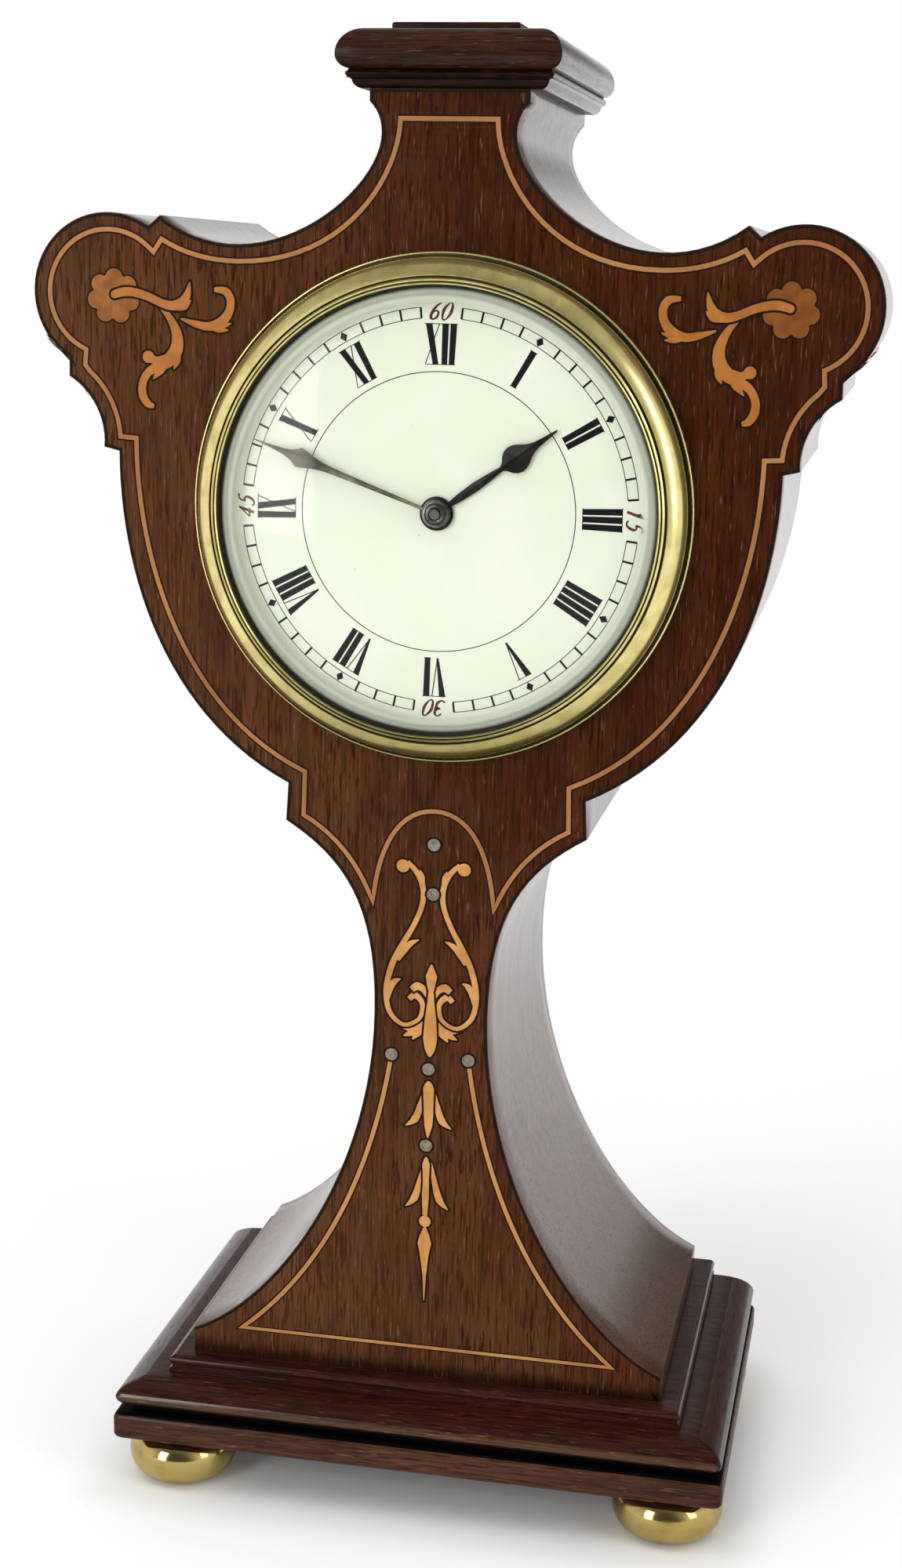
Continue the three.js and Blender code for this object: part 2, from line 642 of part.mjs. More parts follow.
function bezelProfile() {
  const grooveRadius = bezelRadius - BEZEL_RIM_WIDTH;
  const grooveDepth = BEZEL_GROOVE_DEPTH - BEZEL_RIM_PROUD;
  const crestRadius = BEZEL_SIGHT_RADIUS + BEZEL_LIP_WIDTH;
  const band = new THREE.QuadraticBezierCurve(
    point(grooveRadius, grooveDepth),
    point(grooveRadius, -0.8 * BEZEL_PROUD),
    point(crestRadius, BEZEL_GROOVE_DEPTH - BEZEL_PROUD),
  ).getPoints(3).map(({ x, y }) => [x, y]);
  return [
    [flangeRecess, 0],
    [bezelRadius, 0],
    [bezelRadius, BEZEL_GROOVE_DEPTH - BEZEL_RIM_PROUD],
    [bezelRadius - BEZEL_RIM_WIDTH / 2, -BEZEL_RIM_PROUD],
    ...band,
    [crestRadius - BEZEL_GROOVE_DEPTH / 2, -BEZEL_PROUD],
    [BEZEL_SIGHT_RADIUS, -BEZEL_PROUD],
    [BEZEL_SIGHT_RADIUS, lipBack],
    [bezelRecess, lipBack],
    [bezelRecess, dialBack],
    [flangeRecess, dialBack],
    [flangeRecess, 0],
  ];
}
piece(head, 'bezel', turned(bezelProfile(), ROUND_STEPS), brass);

function domeProfile(radius, edge, rise, steps) {
  const points = [];
  for (let i = 0; i <= steps; i += 1) {
    const share = i / steps;
    points.push([radius * (1 - share), edge - rise * (1 - (1 - share) ** 2)]);
  }
  return points;
}

const domeRadius = BEZEL_SIGHT_RADIUS - GLASS_BEVEL_WIDTH;
const domeOuter = lipBack - GLASS_BEVEL_RISE;
const domeInner = domeOuter + GLASS_THICKNESS;
piece(head, 'glass', turned([
  ...domeProfile(domeRadius, domeInner, GLASS_RISE, 2).reverse(),
  [BEZEL_SIGHT_RADIUS, glassBack],
  [glassRadius, glassBack],
  [glassRadius, lipBack],
  [BEZEL_SIGHT_RADIUS - SEAT_GAP, lipBack],
  ...domeProfile(domeRadius, domeOuter, GLASS_RISE, 2),
], ROUND_STEPS), clearGlass);

const sightInner = glassRadius - SIGHT_RING_WIDTH;
const sightHole = roundHole(sightInner, ROUND_STEPS);
piece(head, 'sight_ring', ring(sightHole, glassRadius, glassBack, sightRingBack), brass);

piece(head, 'dial', turned([
  [DIAL_HOLE_RADIUS, dialBack],
  [glassRadius, dialBack],
  [glassRadius, sightRingBack],
  ...domeProfile(sightInner - SEAT_GAP, sightRingBack, DIAL_DOME, 2).slice(0, -1),
  [DIAL_HOLE_RADIUS, sightRingBack - DIAL_DOME],
  [DIAL_HOLE_RADIUS, dialBack],
], ROUND_STEPS), enamel);

// Drum: a brass tube with a front flange that the dial lies on, and a ledge for the movement
const drumInner = DRUM_RADIUS - DRUM_WALL;
const ledgeInner = drumInner - DRUM_LEDGE_WIDTH;
const ledgeFront = FRONT_PLATE_DEPTH - DRUM_LEDGE_THICKNESS;
piece(head, 'drum', turned([
  [drumInner, dialBack],
  [drumFlangeRadius, dialBack],
  [drumFlangeRadius, 0],
  [DRUM_RADIUS, 0],
  [DRUM_RADIUS, DRUM_LENGTH],
  [drumInner, DRUM_LENGTH],
  [drumInner, FRONT_PLATE_DEPTH],
  [ledgeInner, FRONT_PLATE_DEPTH],
  [ledgeInner, ledgeFront],
  [drumInner, ledgeFront],
  [drumInner, dialBack],
], ROUND_STEPS), brass);

// Toothed outlines: a wheel tooth tapers to a point and a pinion leaf to a flat. Each corner is given
// by its share of a tooth step and its height from the pitch circle in modules.
function wheelOutline(teeth, module, turn, at) {
  const radius = (teeth * module) / 2;
  const step = 360 / teeth;
  const corners = [[-0.36, -1.3], [0, 0.9], [0.36, -1.3]];
  const points = [];
  for (let i = 0; i < teeth; i += 1) {
    for (const [share, height] of corners) {
      points.push(bearing(turn + (i + share) * step, radius + height * module).add(at));
    }
  }
  return points;
}

function pinionOutline(leaves, module, turn, at) {
  const radius = (leaves * module) / 2;
  const step = 360 / leaves;
  const corners = [[-0.22, -1.25], [-0.08, 0.6], [0.08, 0.6], [0.22, -1.25]];
  const points = [];
  for (let i = 0; i < leaves; i += 1) {
    for (const [share, height] of corners) {
      points.push(bearing(turn + (i + share) * step, radius + height * module).add(at));
    }
  }
  return points;
}

// The turn that puts a gear in mesh with the gear it meets: a tooth of one faces a gap of the other
function meshTurn(from, fromTeeth, fromTurn, to, toTeeth) {
  const line = THREE.MathUtils.radToDeg(Math.atan2(to.y - from.y, to.x - from.x));
  const fromShare = ((line - fromTurn) * fromTeeth) / 360;
  const toShare = 0.5 - fromShare;
  return line + 180 - (toShare * 360) / toTeeth;
}

function crossedShape(outline, at, outer) {
  const shape = new THREE.Shape(outline);
  const inner = WHEEL_HUB_RADIUS;
  const sector = 360 / WHEEL_CROSSINGS;
  if (outer - inner < WHEEL_SPOKE) {
    return shape;
  }
  for (let i = 0; i < WHEEL_CROSSINGS; i += 1) {
    const outerHalf = sector / 2 - THREE.MathUtils.radToDeg(WHEEL_SPOKE / 2 / outer);
    const innerHalf = sector / 2 - THREE.MathUtils.radToDeg(WHEEL_SPOKE / 2 / inner);
    const points = [];
    for (let k = -1; k <= 1; k += 1) {
      points.push(bearing(i * sector + outerHalf * k, outer).add(at));
    }
    for (let k = 1; k >= -1; k -= 1) {
      points.push(bearing(i * sector + innerHalf * k, inner).add(at));
    }
    shape.holes.push(new THREE.Path(points));
  }
  return shape;
}

function wheelDisc(teeth, module, turn, at, front) {
  const rimInner = (teeth * module) / 2 - 1.3 * module - WHEEL_RIM;
  const shape = crossedShape(wheelOutline(teeth, module, turn, at), at, rimInner);
  return plate(shape, front, front + WHEEL_THICKNESS);
}

function solidWheel(teeth, module, turn, at, front) {
  const shape = new THREE.Shape(wheelOutline(teeth, module, turn, at));
  return plate(shape, front, front + WHEEL_THICKNESS);
}

function pinionBar(leaves, module, turn, at, front, back) {
  return plate(new THREE.Shape(pinionOutline(leaves, module, turn, at)), front, back);
}

// An arbor between the plates with a pivot in each
function pivotedArbor(at, radius, front, back) {
  return turned([
    [0, front],
    [PIVOT_RADIUS, front],
    [PIVOT_RADIUS, trainDepth + END_SHAKE],
    [radius, trainDepth + END_SHAKE],
    [radius, backPlateDepth - END_SHAKE],
    [PIVOT_RADIUS, backPlateDepth - END_SHAKE],
    [PIVOT_RADIUS, back],
    [0, back],
  ], PIN_STEPS, at);
}

// Where the arbors stand, seen from the front
const centreAt = point(0, 0);
const barrelAt = point(0, -BARREL_DROP);
const meshDistance = (teeth, leaves, module) => ((teeth + leaves) * module) / 2;
const barrelReach = meshDistance(BARREL_TEETH, INTERMEDIATE_LEAVES, BARREL_MODULE);
const intermediateReach = meshDistance(INTERMEDIATE_TEETH, CENTRE_LEAVES, INTERMEDIATE_MODULE);
const intermediateDrop = (intermediateReach ** 2 - barrelReach ** 2 + BARREL_DROP ** 2) / (2 * BARREL_DROP);
const intermediateAt = point(-Math.sqrt(intermediateReach ** 2 - intermediateDrop ** 2), -intermediateDrop);
const thirdAt = bearing(THIRD_BEARING, meshDistance(CENTRE_TEETH, THIRD_LEAVES, CENTRE_MODULE));
const fourthReach = meshDistance(THIRD_TEETH, FOURTH_LEAVES, THIRD_MODULE);
const fourthAt = bearing(FOURTH_BEARING, fourthReach).add(thirdAt);
const escapeReach = meshDistance(FOURTH_TEETH, ESCAPE_LEAVES, FOURTH_MODULE);
const escapeAt = bearing(ESCAPE_BEARING, escapeReach).add(fourthAt);
const palletAt = bearing(ESCAPEMENT_BEARING, PALLET_DISTANCE).add(escapeAt);
const balanceAt = bearing(ESCAPEMENT_BEARING, BALANCE_DISTANCE).add(palletAt);
const motionReach = meshDistance(MINUTE_WHEEL_TEETH, CANNON_LEAVES, MOTION_MODULE);
const motionAt = bearing(MOTION_BEARING, motionReach);

// Turns in mesh, starting from the barrel
const barrelTurn = 0;
const intermediateTurn = meshTurn(barrelAt, BARREL_TEETH, barrelTurn, intermediateAt, INTERMEDIATE_LEAVES);
const centreTurn = meshTurn(intermediateAt, INTERMEDIATE_TEETH, intermediateTurn, centreAt, CENTRE_LEAVES);
const thirdTurn = meshTurn(centreAt, CENTRE_TEETH, centreTurn, thirdAt, THIRD_LEAVES);
const fourthTurn = meshTurn(thirdAt, THIRD_TEETH, thirdTurn, fourthAt, FOURTH_LEAVES);
const escapeTurn = meshTurn(fourthAt, FOURTH_TEETH, fourthTurn, escapeAt, ESCAPE_LEAVES);

// Plates: the front one also carries the minute wheel post, the back one the click pin
const pivotHole = roundHole(PIVOT_RADIUS + RUNNING_FIT, PIN_STEPS);
const centreHole = roundHole(CENTRE_ARBOR_RADIUS + RUNNING_FIT, PIN_STEPS);
const windingHole = roundHole(WINDING_SHAFT_RADIUS + RUNNING_FIT, SMALL_STEPS);
const escapePassage = 3 * PIVOT_RADIUS;
const frontPlateRadius = drumInner - SEAT_GAP;
const pillarPlaces = PILLAR_ANGLES.map((angle) => bearing(angle, PILLAR_CIRCLE));

function movementPlate(radius, front, holes) {
  const shape = new THREE.Shape(circlePoints(radius, ROUND_STEPS));
  for (const [at, size, steps] of holes) {
    shape.holes.push(new THREE.Path(circlePoints(size, steps, at)));
  }
  return plate(shape, front, front + PLATE_THICKNESS);
}

const trainHoles = [intermediateAt, thirdAt, fourthAt].map((at) => [at, pivotHole, PIN_STEPS]);
const arborHoles = [[centreAt, centreHole, PIN_STEPS], [barrelAt, windingHole, SMALL_STEPS]];
const minuteWheelFront = FRONT_PLATE_DEPTH - MINUTE_WHEEL_INSET;
const hourWheelFront = FRONT_PLATE_DEPTH - HOUR_WHEEL_INSET;
const motionFront = hourWheelFront - END_SHAKE;
piece(head, 'front_plate', join(
  movementPlate(frontPlateRadius, FRONT_PLATE_DEPTH, [
    ...trainHoles, ...arborHoles, [escapeAt, pivotHole, PIN_STEPS],
  ]),
  rod(MINUTE_POST_RADIUS, motionFront - END_SHAKE, FRONT_PLATE_DEPTH + PLATE_THICKNESS / 2, motionAt),
), brass);

const clickAt = bearing(CLICK_BEARING, CLICK_REACH).add(barrelAt);
const ratchetFront = platformDepth + END_SHAKE;
const ratchetBack = ratchetFront + RATCHET_THICKNESS;
piece(head, 'back_plate', join(
  movementPlate(BACK_PLATE_RADIUS, backPlateDepth, [
    ...trainHoles, ...arborHoles, [escapeAt, escapePassage, PIN_STEPS],
  ]),
  rod(CLICK_PIN_RADIUS, backPlateDepth + PLATE_THICKNESS / 2, ratchetBack + END_SHAKE, clickAt),
), brass);

pillarPlaces.forEach((at, i) => {
  const waist = PILLAR_RADIUS * PILLAR_WAIST_SHARE;
  piece(head, `pillar_${i + 1}`, turned([
    [0, trainDepth],
    [PILLAR_RADIUS, trainDepth],
    [waist, trainDepth + PILLAR_RADIUS],
    [waist, backPlateDepth - PILLAR_RADIUS],
    [PILLAR_RADIUS, backPlateDepth],
    [0, backPlateDepth],
  ], PIN_STEPS, at), brass);
});

// Barrel with its teeth, cover, mainspring and winding arbor
const barrelFront = trainDepth + BARREL_INSET;
const barrelBack = barrelFront + BARREL_LENGTH;
const barrelRadius = (BARREL_TEETH * BARREL_MODULE) / 2 - 1.3 * BARREL_MODULE - SEAT_GAP;
const barrelInner = barrelRadius - BARREL_WALL;
const barrelFloor = barrelFront + BARREL_TEETH_THICKNESS;
const toothedDisc = new THREE.Shape(wheelOutline(BARREL_TEETH, BARREL_MODULE, barrelTurn, barrelAt));
toothedDisc.holes.push(new THREE.Path(circlePoints(windingHole, SMALL_STEPS, barrelAt)));
piece(head, 'barrel', join(
  plate(toothedDisc, barrelFront, barrelFloor),
  ring(barrelInner, barrelRadius, barrelFront + BARREL_TEETH_THICKNESS / 2, barrelBack, barrelAt),
), brass);

const coverRadius = barrelInner * Math.cos(Math.PI / ROUND_STEPS) - RUNNING_FIT;
piece(head, 'barrel_cover', ring(windingHole, coverRadius, barrelBack - BARREL_COVER, barrelBack,
  barrelAt, SMALL_STEPS), brass);

function spiralStrip(at, inner, outer, turns, strip, front, back) {
  const count = turns * SPIRAL_STEPS;
  const outside = [];
  const inside = [];
  for (let i = 0; i <= count; i += 1) {
    const radius = inner + ((outer - inner) * i) / count;
    outside.push(bearing((360 * i) / SPIRAL_STEPS, radius + strip / 2).add(at));
    inside.push(bearing((360 * i) / SPIRAL_STEPS, radius - strip / 2).add(at));
  }
  return plate(new THREE.Shape([...outside, ...inside.reverse()]), front, back);
}

const springFront = barrelFloor + SEAT_GAP;
const springBack = barrelBack - BARREL_COVER - SEAT_GAP;
const springInner = BARREL_HUB_RADIUS + SEAT_GAP + MAINSPRING_STRIP;
const springOuter = barrelInner - SEAT_GAP - MAINSPRING_STRIP;
piece(head, 'mainspring', spiralStrip(barrelAt, springInner, springOuter, MAINSPRING_TURNS,
  MAINSPRING_STRIP, springFront, springBack), steel);

const squareEnd = ratchetBack + SEAT_GAP + WINDING_SQUARE_LENGTH;
const halfSquare = WINDING_SQUARE / 2;
piece(head, 'winding_arbor', join(
  turned([
    [0, FRONT_PLATE_DEPTH],
    [WINDING_SHAFT_RADIUS, FRONT_PLATE_DEPTH],
    [WINDING_SHAFT_RADIUS, springFront],
    [BARREL_HUB_RADIUS, springFront],
    [BARREL_HUB_RADIUS, springBack],
    [WINDING_SHAFT_RADIUS, springBack],
    [WINDING_SHAFT_RADIUS, ratchetBack + SEAT_GAP],
    [0, ratchetBack + SEAT_GAP],
  ], SMALL_STEPS, barrelAt),
  block(-halfSquare, halfSquare, ratchetBack - SEAT_GAP, squareEnd,
    barrelAt.y - halfSquare, barrelAt.y + halfSquare),
), steel);

function ratchetOutline() {
  const points = [];
  const step = 360 / RATCHET_TEETH;
  for (let i = 0; i < RATCHET_TEETH; i += 1) {
    points.push(bearing(i * step, RATCHET_RADIUS).add(barrelAt));
    points.push(bearing((i + 0.9) * step, RATCHET_RADIUS - RATCHET_TOOTH).add(barrelAt));
  }
  return points;
}
const ratchetShape = new THREE.Shape(ratchetOutline());
ratchetShape.holes.push(new THREE.Path(circlePoints(windingHole, SMALL_STEPS, barrelAt)));
piece(head, 'ratchet_wheel', plate(ratchetShape, ratchetFront, ratchetBack), steel);

// Click: a hub on its pin with a beak that points at the ratchet, and its bent spring
function clickShape() {
  const beak = bearing(CLICK_BEARING, RATCHET_RADIUS + SEAT_GAP).add(barrelAt);
  const toBeak = beak.clone().sub(clickAt);
  const side = point(-toBeak.y, toBeak.x).setLength(CLICK_HUB_RADIUS);
  const tail = clickAt.clone().sub(toBeak.clone().setLength(CLICK_HUB_RADIUS));
  const shape = new THREE.Shape([
    beak,
    clickAt.clone().add(side),
    tail.clone().add(side.clone().multiplyScalar(0.5)),
    tail.clone().sub(side.clone().multiplyScalar(0.5)),
    clickAt.clone().sub(side),
  ]);
  const hole = roundHole(CLICK_PIN_RADIUS + RUNNING_FIT, PIN_STEPS);
  shape.holes.push(new THREE.Path(circlePoints(hole, PIN_STEPS, clickAt)));
  return shape;
}
piece(head, 'click', plate(clickShape(), ratchetFront, ratchetBack), steel);

function clickSpring() {
  const away = CLICK_HUB_RADIUS + SEAT_GAP;
  const outside = [];
  const inside = [];
  const steps = 6;
  for (let i = 0; i <= steps; i += 1) {
    const turn = CLICK_BEARING - 60 + (150 * i) / steps;
    outside.push(bearing(turn, away + CLICK_SPRING_STRIP).add(clickAt));
    inside.push(bearing(turn, away).add(clickAt));
  }
  return plate(new THREE.Shape([...outside, ...inside.reverse()]), platformDepth, ratchetBack);
}
piece(head, 'click_spring', clickSpring(), steel);

// Winding key: a hub with a square socket, and two wings
function windingKey() {
  const front = ratchetBack + 2 * SEAT_GAP;
  const hubBack = front + KEY_HUB_LENGTH;
  const socket = halfSquare + RUNNING_FIT;
  const half = KEY_WING_SPAN / 2;
  const wingFront = hubBack - KEY_WING_WAIST;
  const wingBack = wingFront + KEY_WING_LENGTH;
  const middle = (wingFront + wingBack) / 2;
  const wings = new THREE.Shape();
  wings.moveTo(-KEY_WING_WAIST / 2, wingFront);
  wings.quadraticCurveTo(0, wingFront + KEY_WING_WAIST / 2, KEY_WING_WAIST / 2, wingFront);
  wings.bezierCurveTo(half, wingFront - 1, half, middle, half, middle);
  wings.bezierCurveTo(half, wingBack + 1, KEY_WING_WAIST, wingBack, 0, middle);
  wings.bezierCurveTo(-KEY_WING_WAIST, wingBack, -half, wingBack + 1, -half, middle);
  wings.bezierCurveTo(-half, middle, -half, wingFront - 1, -KEY_WING_WAIST / 2, wingFront);
  const wingPlate = new THREE.ExtrudeGeometry(wings, {
    depth: KEY_WING_THICKNESS, bevelEnabled: false, curveSegments: 6,
  }).translate(barrelAt.x, 0, barrelAt.y - KEY_WING_THICKNESS / 2);
  const hub = rod(KEY_HUB_RADIUS, front, hubBack, barrelAt, SMALL_STEPS);
  const bore = block(barrelAt.x - socket, barrelAt.x + socket, front - 1, squareEnd + SEAT_GAP,
    barrelAt.y - socket, barrelAt.y + socket);
  return cut(join(hub, wingPlate), bore);
}
piece(head, 'winding_key', windingKey(), brass);

// Train wheels, each with its pinion on one arbor
const intermediateFront = trainDepth + INTERMEDIATE_INSET;
piece(head, 'intermediate_wheel', join(
  pivotedArbor(intermediateAt, ARBOR_RADIUS, FRONT_PLATE_DEPTH, platformDepth),
  pinionBar(INTERMEDIATE_LEAVES, BARREL_MODULE, intermediateTurn, intermediateAt,
    barrelFront - END_SHAKE, barrelFloor + END_SHAKE),
  wheelDisc(INTERMEDIATE_TEETH, INTERMEDIATE_MODULE, intermediateTurn, intermediateAt, intermediateFront),
), brass);

const centreFront = trainDepth + CENTRE_INSET;
const centrePinionShape = new THREE.Shape(
  pinionOutline(CENTRE_LEAVES, INTERMEDIATE_MODULE, centreTurn, centreAt));
const centreSleeve = join(
  plate(centrePinionShape, intermediateFront - END_SHAKE, centreFront + WHEEL_THICKNESS / 2),
  wheelDisc(CENTRE_TEETH, CENTRE_MODULE, centreTurn, centreAt, centreFront),
);
piece(head, 'centre_wheel', cut(centreSleeve,
  rod(centreHole, intermediateFront - 1, centreFront + WHEEL_THICKNESS + 1, centreAt)), brass);

const thirdFront = trainDepth + THIRD_INSET;
piece(head, 'third_wheel', join(
  pivotedArbor(thirdAt, ARBOR_RADIUS, FRONT_PLATE_DEPTH, platformDepth),
  pinionBar(THIRD_LEAVES, CENTRE_MODULE, thirdTurn, thirdAt,
    centreFront - PINION_LENGTH / 4, centreFront + WHEEL_THICKNESS + PINION_LENGTH / 4),
  wheelDisc(THIRD_TEETH, THIRD_MODULE, thirdTurn, thirdAt, thirdFront),
), brass);

const fourthFront = trainDepth + FOURTH_INSET;
piece(head, 'fourth_wheel', join(
  pivotedArbor(fourthAt, ARBOR_RADIUS, FRONT_PLATE_DEPTH, platformDepth),
  pinionBar(FOURTH_LEAVES, THIRD_MODULE, fourthTurn, fourthAt,
    thirdFront - PINION_LENGTH / 4, thirdFront + WHEEL_THICKNESS + PINION_LENGTH / 4),
  wheelDisc(FOURTH_TEETH, FOURTH_MODULE, fourthTurn, fourthAt, fourthFront),
), brass);

// Escapement: the levels are counted from the platform's back face
const platformBack = platformDepth + PLATFORM_THICKNESS;
const escapeFront = platformBack + ESCAPE_WHEEL_LIFT;
const bridgeFront = platformBack + BRIDGE_LIFT;
const balanceFront = platformBack + BALANCE_LIFT;
const cockFront = platformBack + COCK_LIFT;
const along = (u, v) => point(u, v).rotateAround(point(0, 0), radians(ESCAPEMENT_BEARING)).add(escapeAt);
const escapementLength = PALLET_DISTANCE + BALANCE_DISTANCE;

function barShape(uLow, uHigh, halfWidth) {
  return new THREE.Shape([
    along(uLow, -halfWidth), along(uHigh, -halfWidth), along(uHigh, halfWidth), along(uLow, halfWidth),
  ]);
}

function escapeOutline() {
  const points = [];
  const step = 360 / ESCAPE_TEETH;
  for (let i = 0; i < ESCAPE_TEETH; i += 1) {
    points.push(bearing(i * step, ESCAPE_RADIUS).add(escapeAt));
    points.push(bearing((i + 0.14) * step, ESCAPE_RADIUS).add(escapeAt));
    points.push(bearing((i + 0.4) * step, 0.76 * ESCAPE_RADIUS).add(escapeAt));
    points.push(bearing((i + 0.85) * step, 0.76 * ESCAPE_RADIUS).add(escapeAt));
  }
  return points;
}

const escapeArborBack = bridgeFront + BRIDGE_THICKNESS;
piece(head, 'escape_wheel', join(
  turned([
    [0, FRONT_PLATE_DEPTH],
    [PIVOT_RADIUS, FRONT_PLATE_DEPTH],
    [PIVOT_RADIUS, escapeArborBack],
    [0, escapeArborBack],
  ], PIN_STEPS, escapeAt),
  pinionBar(ESCAPE_LEAVES, FOURTH_MODULE, escapeTurn, escapeAt,
    fourthFront - PINION_LENGTH / 4, fourthFront + WHEEL_THICKNESS + PINION_LENGTH / 4),
  plate(new THREE.Shape(escapeOutline()), escapeFront, escapeFront + ESCAPE_WHEEL_THICKNESS),
), steel);

const platformShape = barShape(-PLATFORM_MARGIN, escapementLength + BALANCE_RADIUS + COCK_FOOT_LENGTH + 1,
  PLATFORM_HALF_WIDTH);
for (const [at, size] of [[escapeAt, escapePassage], [palletAt, pivotHole], [balanceAt, pivotHole]]) {
  platformShape.holes.push(new THREE.Path(circlePoints(size, PIN_STEPS, at)));
}
piece(head, 'platform', plate(platformShape, platformDepth, platformBack), brass);

// Lever: two pallet arms round the escape wheel and a forked tail towards the balance
function leverShape() {
  const clear = ESCAPE_RADIUS + PALLET_GAP;
  const palletU = clear * Math.cos(radians(PALLET_SPREAD));
  const palletV = clear * Math.sin(radians(PALLET_SPREAD));
  const forkU = escapementLength - ROLLER_RADIUS - FORK_GAP;
  const half = LEVER_HALF_WIDTH;
  const right = [
    [palletU, palletV],
    [palletU + half, palletV + half],
    [PALLET_DISTANCE + 2 * half, half],
    [forkU - half, half],
    [forkU, 1.5 * half],
    [forkU, half / 2],
    [forkU - half, half / 2],
  ];
  const inner = [clear, 0];
  const left = right.map(([u, v]) => [u, -v]).reverse();
  return new THREE.Shape([...right, ...left, inner].map(([u, v]) => along(u, v)));
}
const leverArborBack = bridgeFront + BRIDGE_THICKNESS;
piece(head, 'pallet_lever', join(
  plate(leverShape(), escapeFront, escapeFront + ESCAPE_WHEEL_THICKNESS),
  rod(PIVOT_RADIUS, platformDepth, leverArborBack, palletAt),
), steel);

// Bridge over the escape wheel and lever, with a foot each side of the platform
const bridgeReach = PALLET_DISTANCE + BRIDGE_HALF_WIDTH;
const bridgeSpan = new THREE.Shape([
  along(-BRIDGE_HALF_WIDTH, -BRIDGE_HALF_WIDTH),
  along(bridgeReach, -BRIDGE_HALF_WIDTH),
  along(bridgeReach, BRIDGE_HALF_WIDTH),
  along(BRIDGE_HALF_WIDTH, PLATFORM_HALF_WIDTH),
  along(-BRIDGE_HALF_WIDTH, PLATFORM_HALF_WIDTH),
]);
for (const at of [escapeAt, palletAt]) {
  bridgeSpan.holes.push(new THREE.Path(circlePoints(pivotHole, PIN_STEPS, at)));
}
const bridgeFootInner = ESCAPE_RADIUS + 2 * SEAT_GAP;
const bridgeFoot = new THREE.Shape([
  along(-BRIDGE_HALF_WIDTH, bridgeFootInner),
  along(BRIDGE_HALF_WIDTH, bridgeFootInner),
  along(BRIDGE_HALF_WIDTH, PLATFORM_HALF_WIDTH),
  along(-BRIDGE_HALF_WIDTH, PLATFORM_HALF_WIDTH),
]);
piece(head, 'escape_bridge', join(
  plate(bridgeSpan, bridgeFront, bridgeFront + BRIDGE_THICKNESS),
  plate(bridgeFoot, platformBack, bridgeFront + BRIDGE_THICKNESS / 2),
), brass);

// Balance: rim, two arms, staff and roller; the hairspring lies between it and the cock
const cockBack = cockFront + COCK_THICKNESS;
const balanceArms = new THREE.Shape([
  along(escapementLength - BALANCE_RADIUS + BALANCE_RIM / 2, -BALANCE_ARM_HALF),
  along(escapementLength + BALANCE_RADIUS - BALANCE_RIM / 2, -BALANCE_ARM_HALF),
  along(escapementLength + BALANCE_RADIUS - BALANCE_RIM / 2, BALANCE_ARM_HALF),
  along(escapementLength - BALANCE_RADIUS + BALANCE_RIM / 2, BALANCE_ARM_HALF),
]);
piece(head, 'balance', join(
  ring(BALANCE_RADIUS - BALANCE_RIM, BALANCE_RADIUS, balanceFront, balanceFront + BALANCE_THICKNESS,
    balanceAt, ROUND_STEPS / 2),
  plate(balanceArms, balanceFront + BALANCE_THICKNESS / 4, balanceFront + (3 * BALANCE_THICKNESS) / 4),
  turned([
    [0, platformDepth],
    [PIVOT_RADIUS, platformDepth],
    [PIVOT_RADIUS, escapeFront],
    [ROLLER_RADIUS, escapeFront],
    [ROLLER_RADIUS, escapeFront + ESCAPE_WHEEL_THICKNESS],
    [ARBOR_RADIUS, escapeFront + ESCAPE_WHEEL_THICKNESS],
    [ARBOR_RADIUS, cockFront - END_SHAKE],
    [PIVOT_RADIUS, cockFront - END_SHAKE],
    [PIVOT_RADIUS, cockBack],
    [0, cockBack],
  ], PIN_STEPS, balanceAt),
), brass);

const hairspringFront = platformBack + HAIRSPRING_LIFT;
piece(head, 'hairspring', spiralStrip(balanceAt, HAIRSPRING_INNER, HAIRSPRING_OUTER, HAIRSPRING_TURNS,
  HAIRSPRING_STRIP, hairspringFront, hairspringFront + HAIRSPRING_HEIGHT), steel);

// Cock: a foot on the platform, an arm to the balance staff, a boss for the index and a spring stud
const cockFootStart = escapementLength + BALANCE_RADIUS + SEAT_GAP;
const cockFootEnd = cockFootStart + COCK_FOOT_LENGTH;
const indexFront = cockBack + SEAT_GAP;
const indexBack = indexFront + INDEX_THICKNESS;
const cockFoot = barShape(cockFootStart, cockFootEnd, COCK_HALF_WIDTH);
const cockArm = barShape(escapementLength - COCK_HALF_WIDTH, cockFootEnd, COCK_HALF_WIDTH);
const springStud = along(escapementLength + HAIRSPRING_OUTER + HAIRSPRING_STRIP + SEAT_GAP + 0.5, 0);
piece(head, 'balance_cock', cut(
  join(
    plate(cockArm, cockFront, cockBack),
    plate(cockFoot, platformBack, cockFront + COCK_THICKNESS / 2),
    rod(INDEX_BOSS_RADIUS, cockBack - COCK_THICKNESS / 2, indexBack, balanceAt, SMALL_STEPS),
    rod(0.5, hairspringFront, cockFront + COCK_THICKNESS / 2, springStud),
  ),
  rod(pivotHole, cockFront - 1, indexBack + 1, balanceAt),
), brass);

const indexBore = roundHole(INDEX_BOSS_RADIUS + RUNNING_FIT, SMALL_STEPS);
const indexOuter = indexBore + INDEX_RING_WIDTH;
const indexHalf = INDEX_RING_WIDTH / 2;
const indexTip = escapementLength - INDEX_REACH;
const indexArm = barShape(indexTip, escapementLength - indexBore - indexHalf, indexHalf);
piece(head, 'regulator_index', join(
  ring(indexBore, indexOuter, indexFront, indexBack, balanceAt, SMALL_STEPS),
  plate(indexArm, indexFront, indexBack),
), steel);

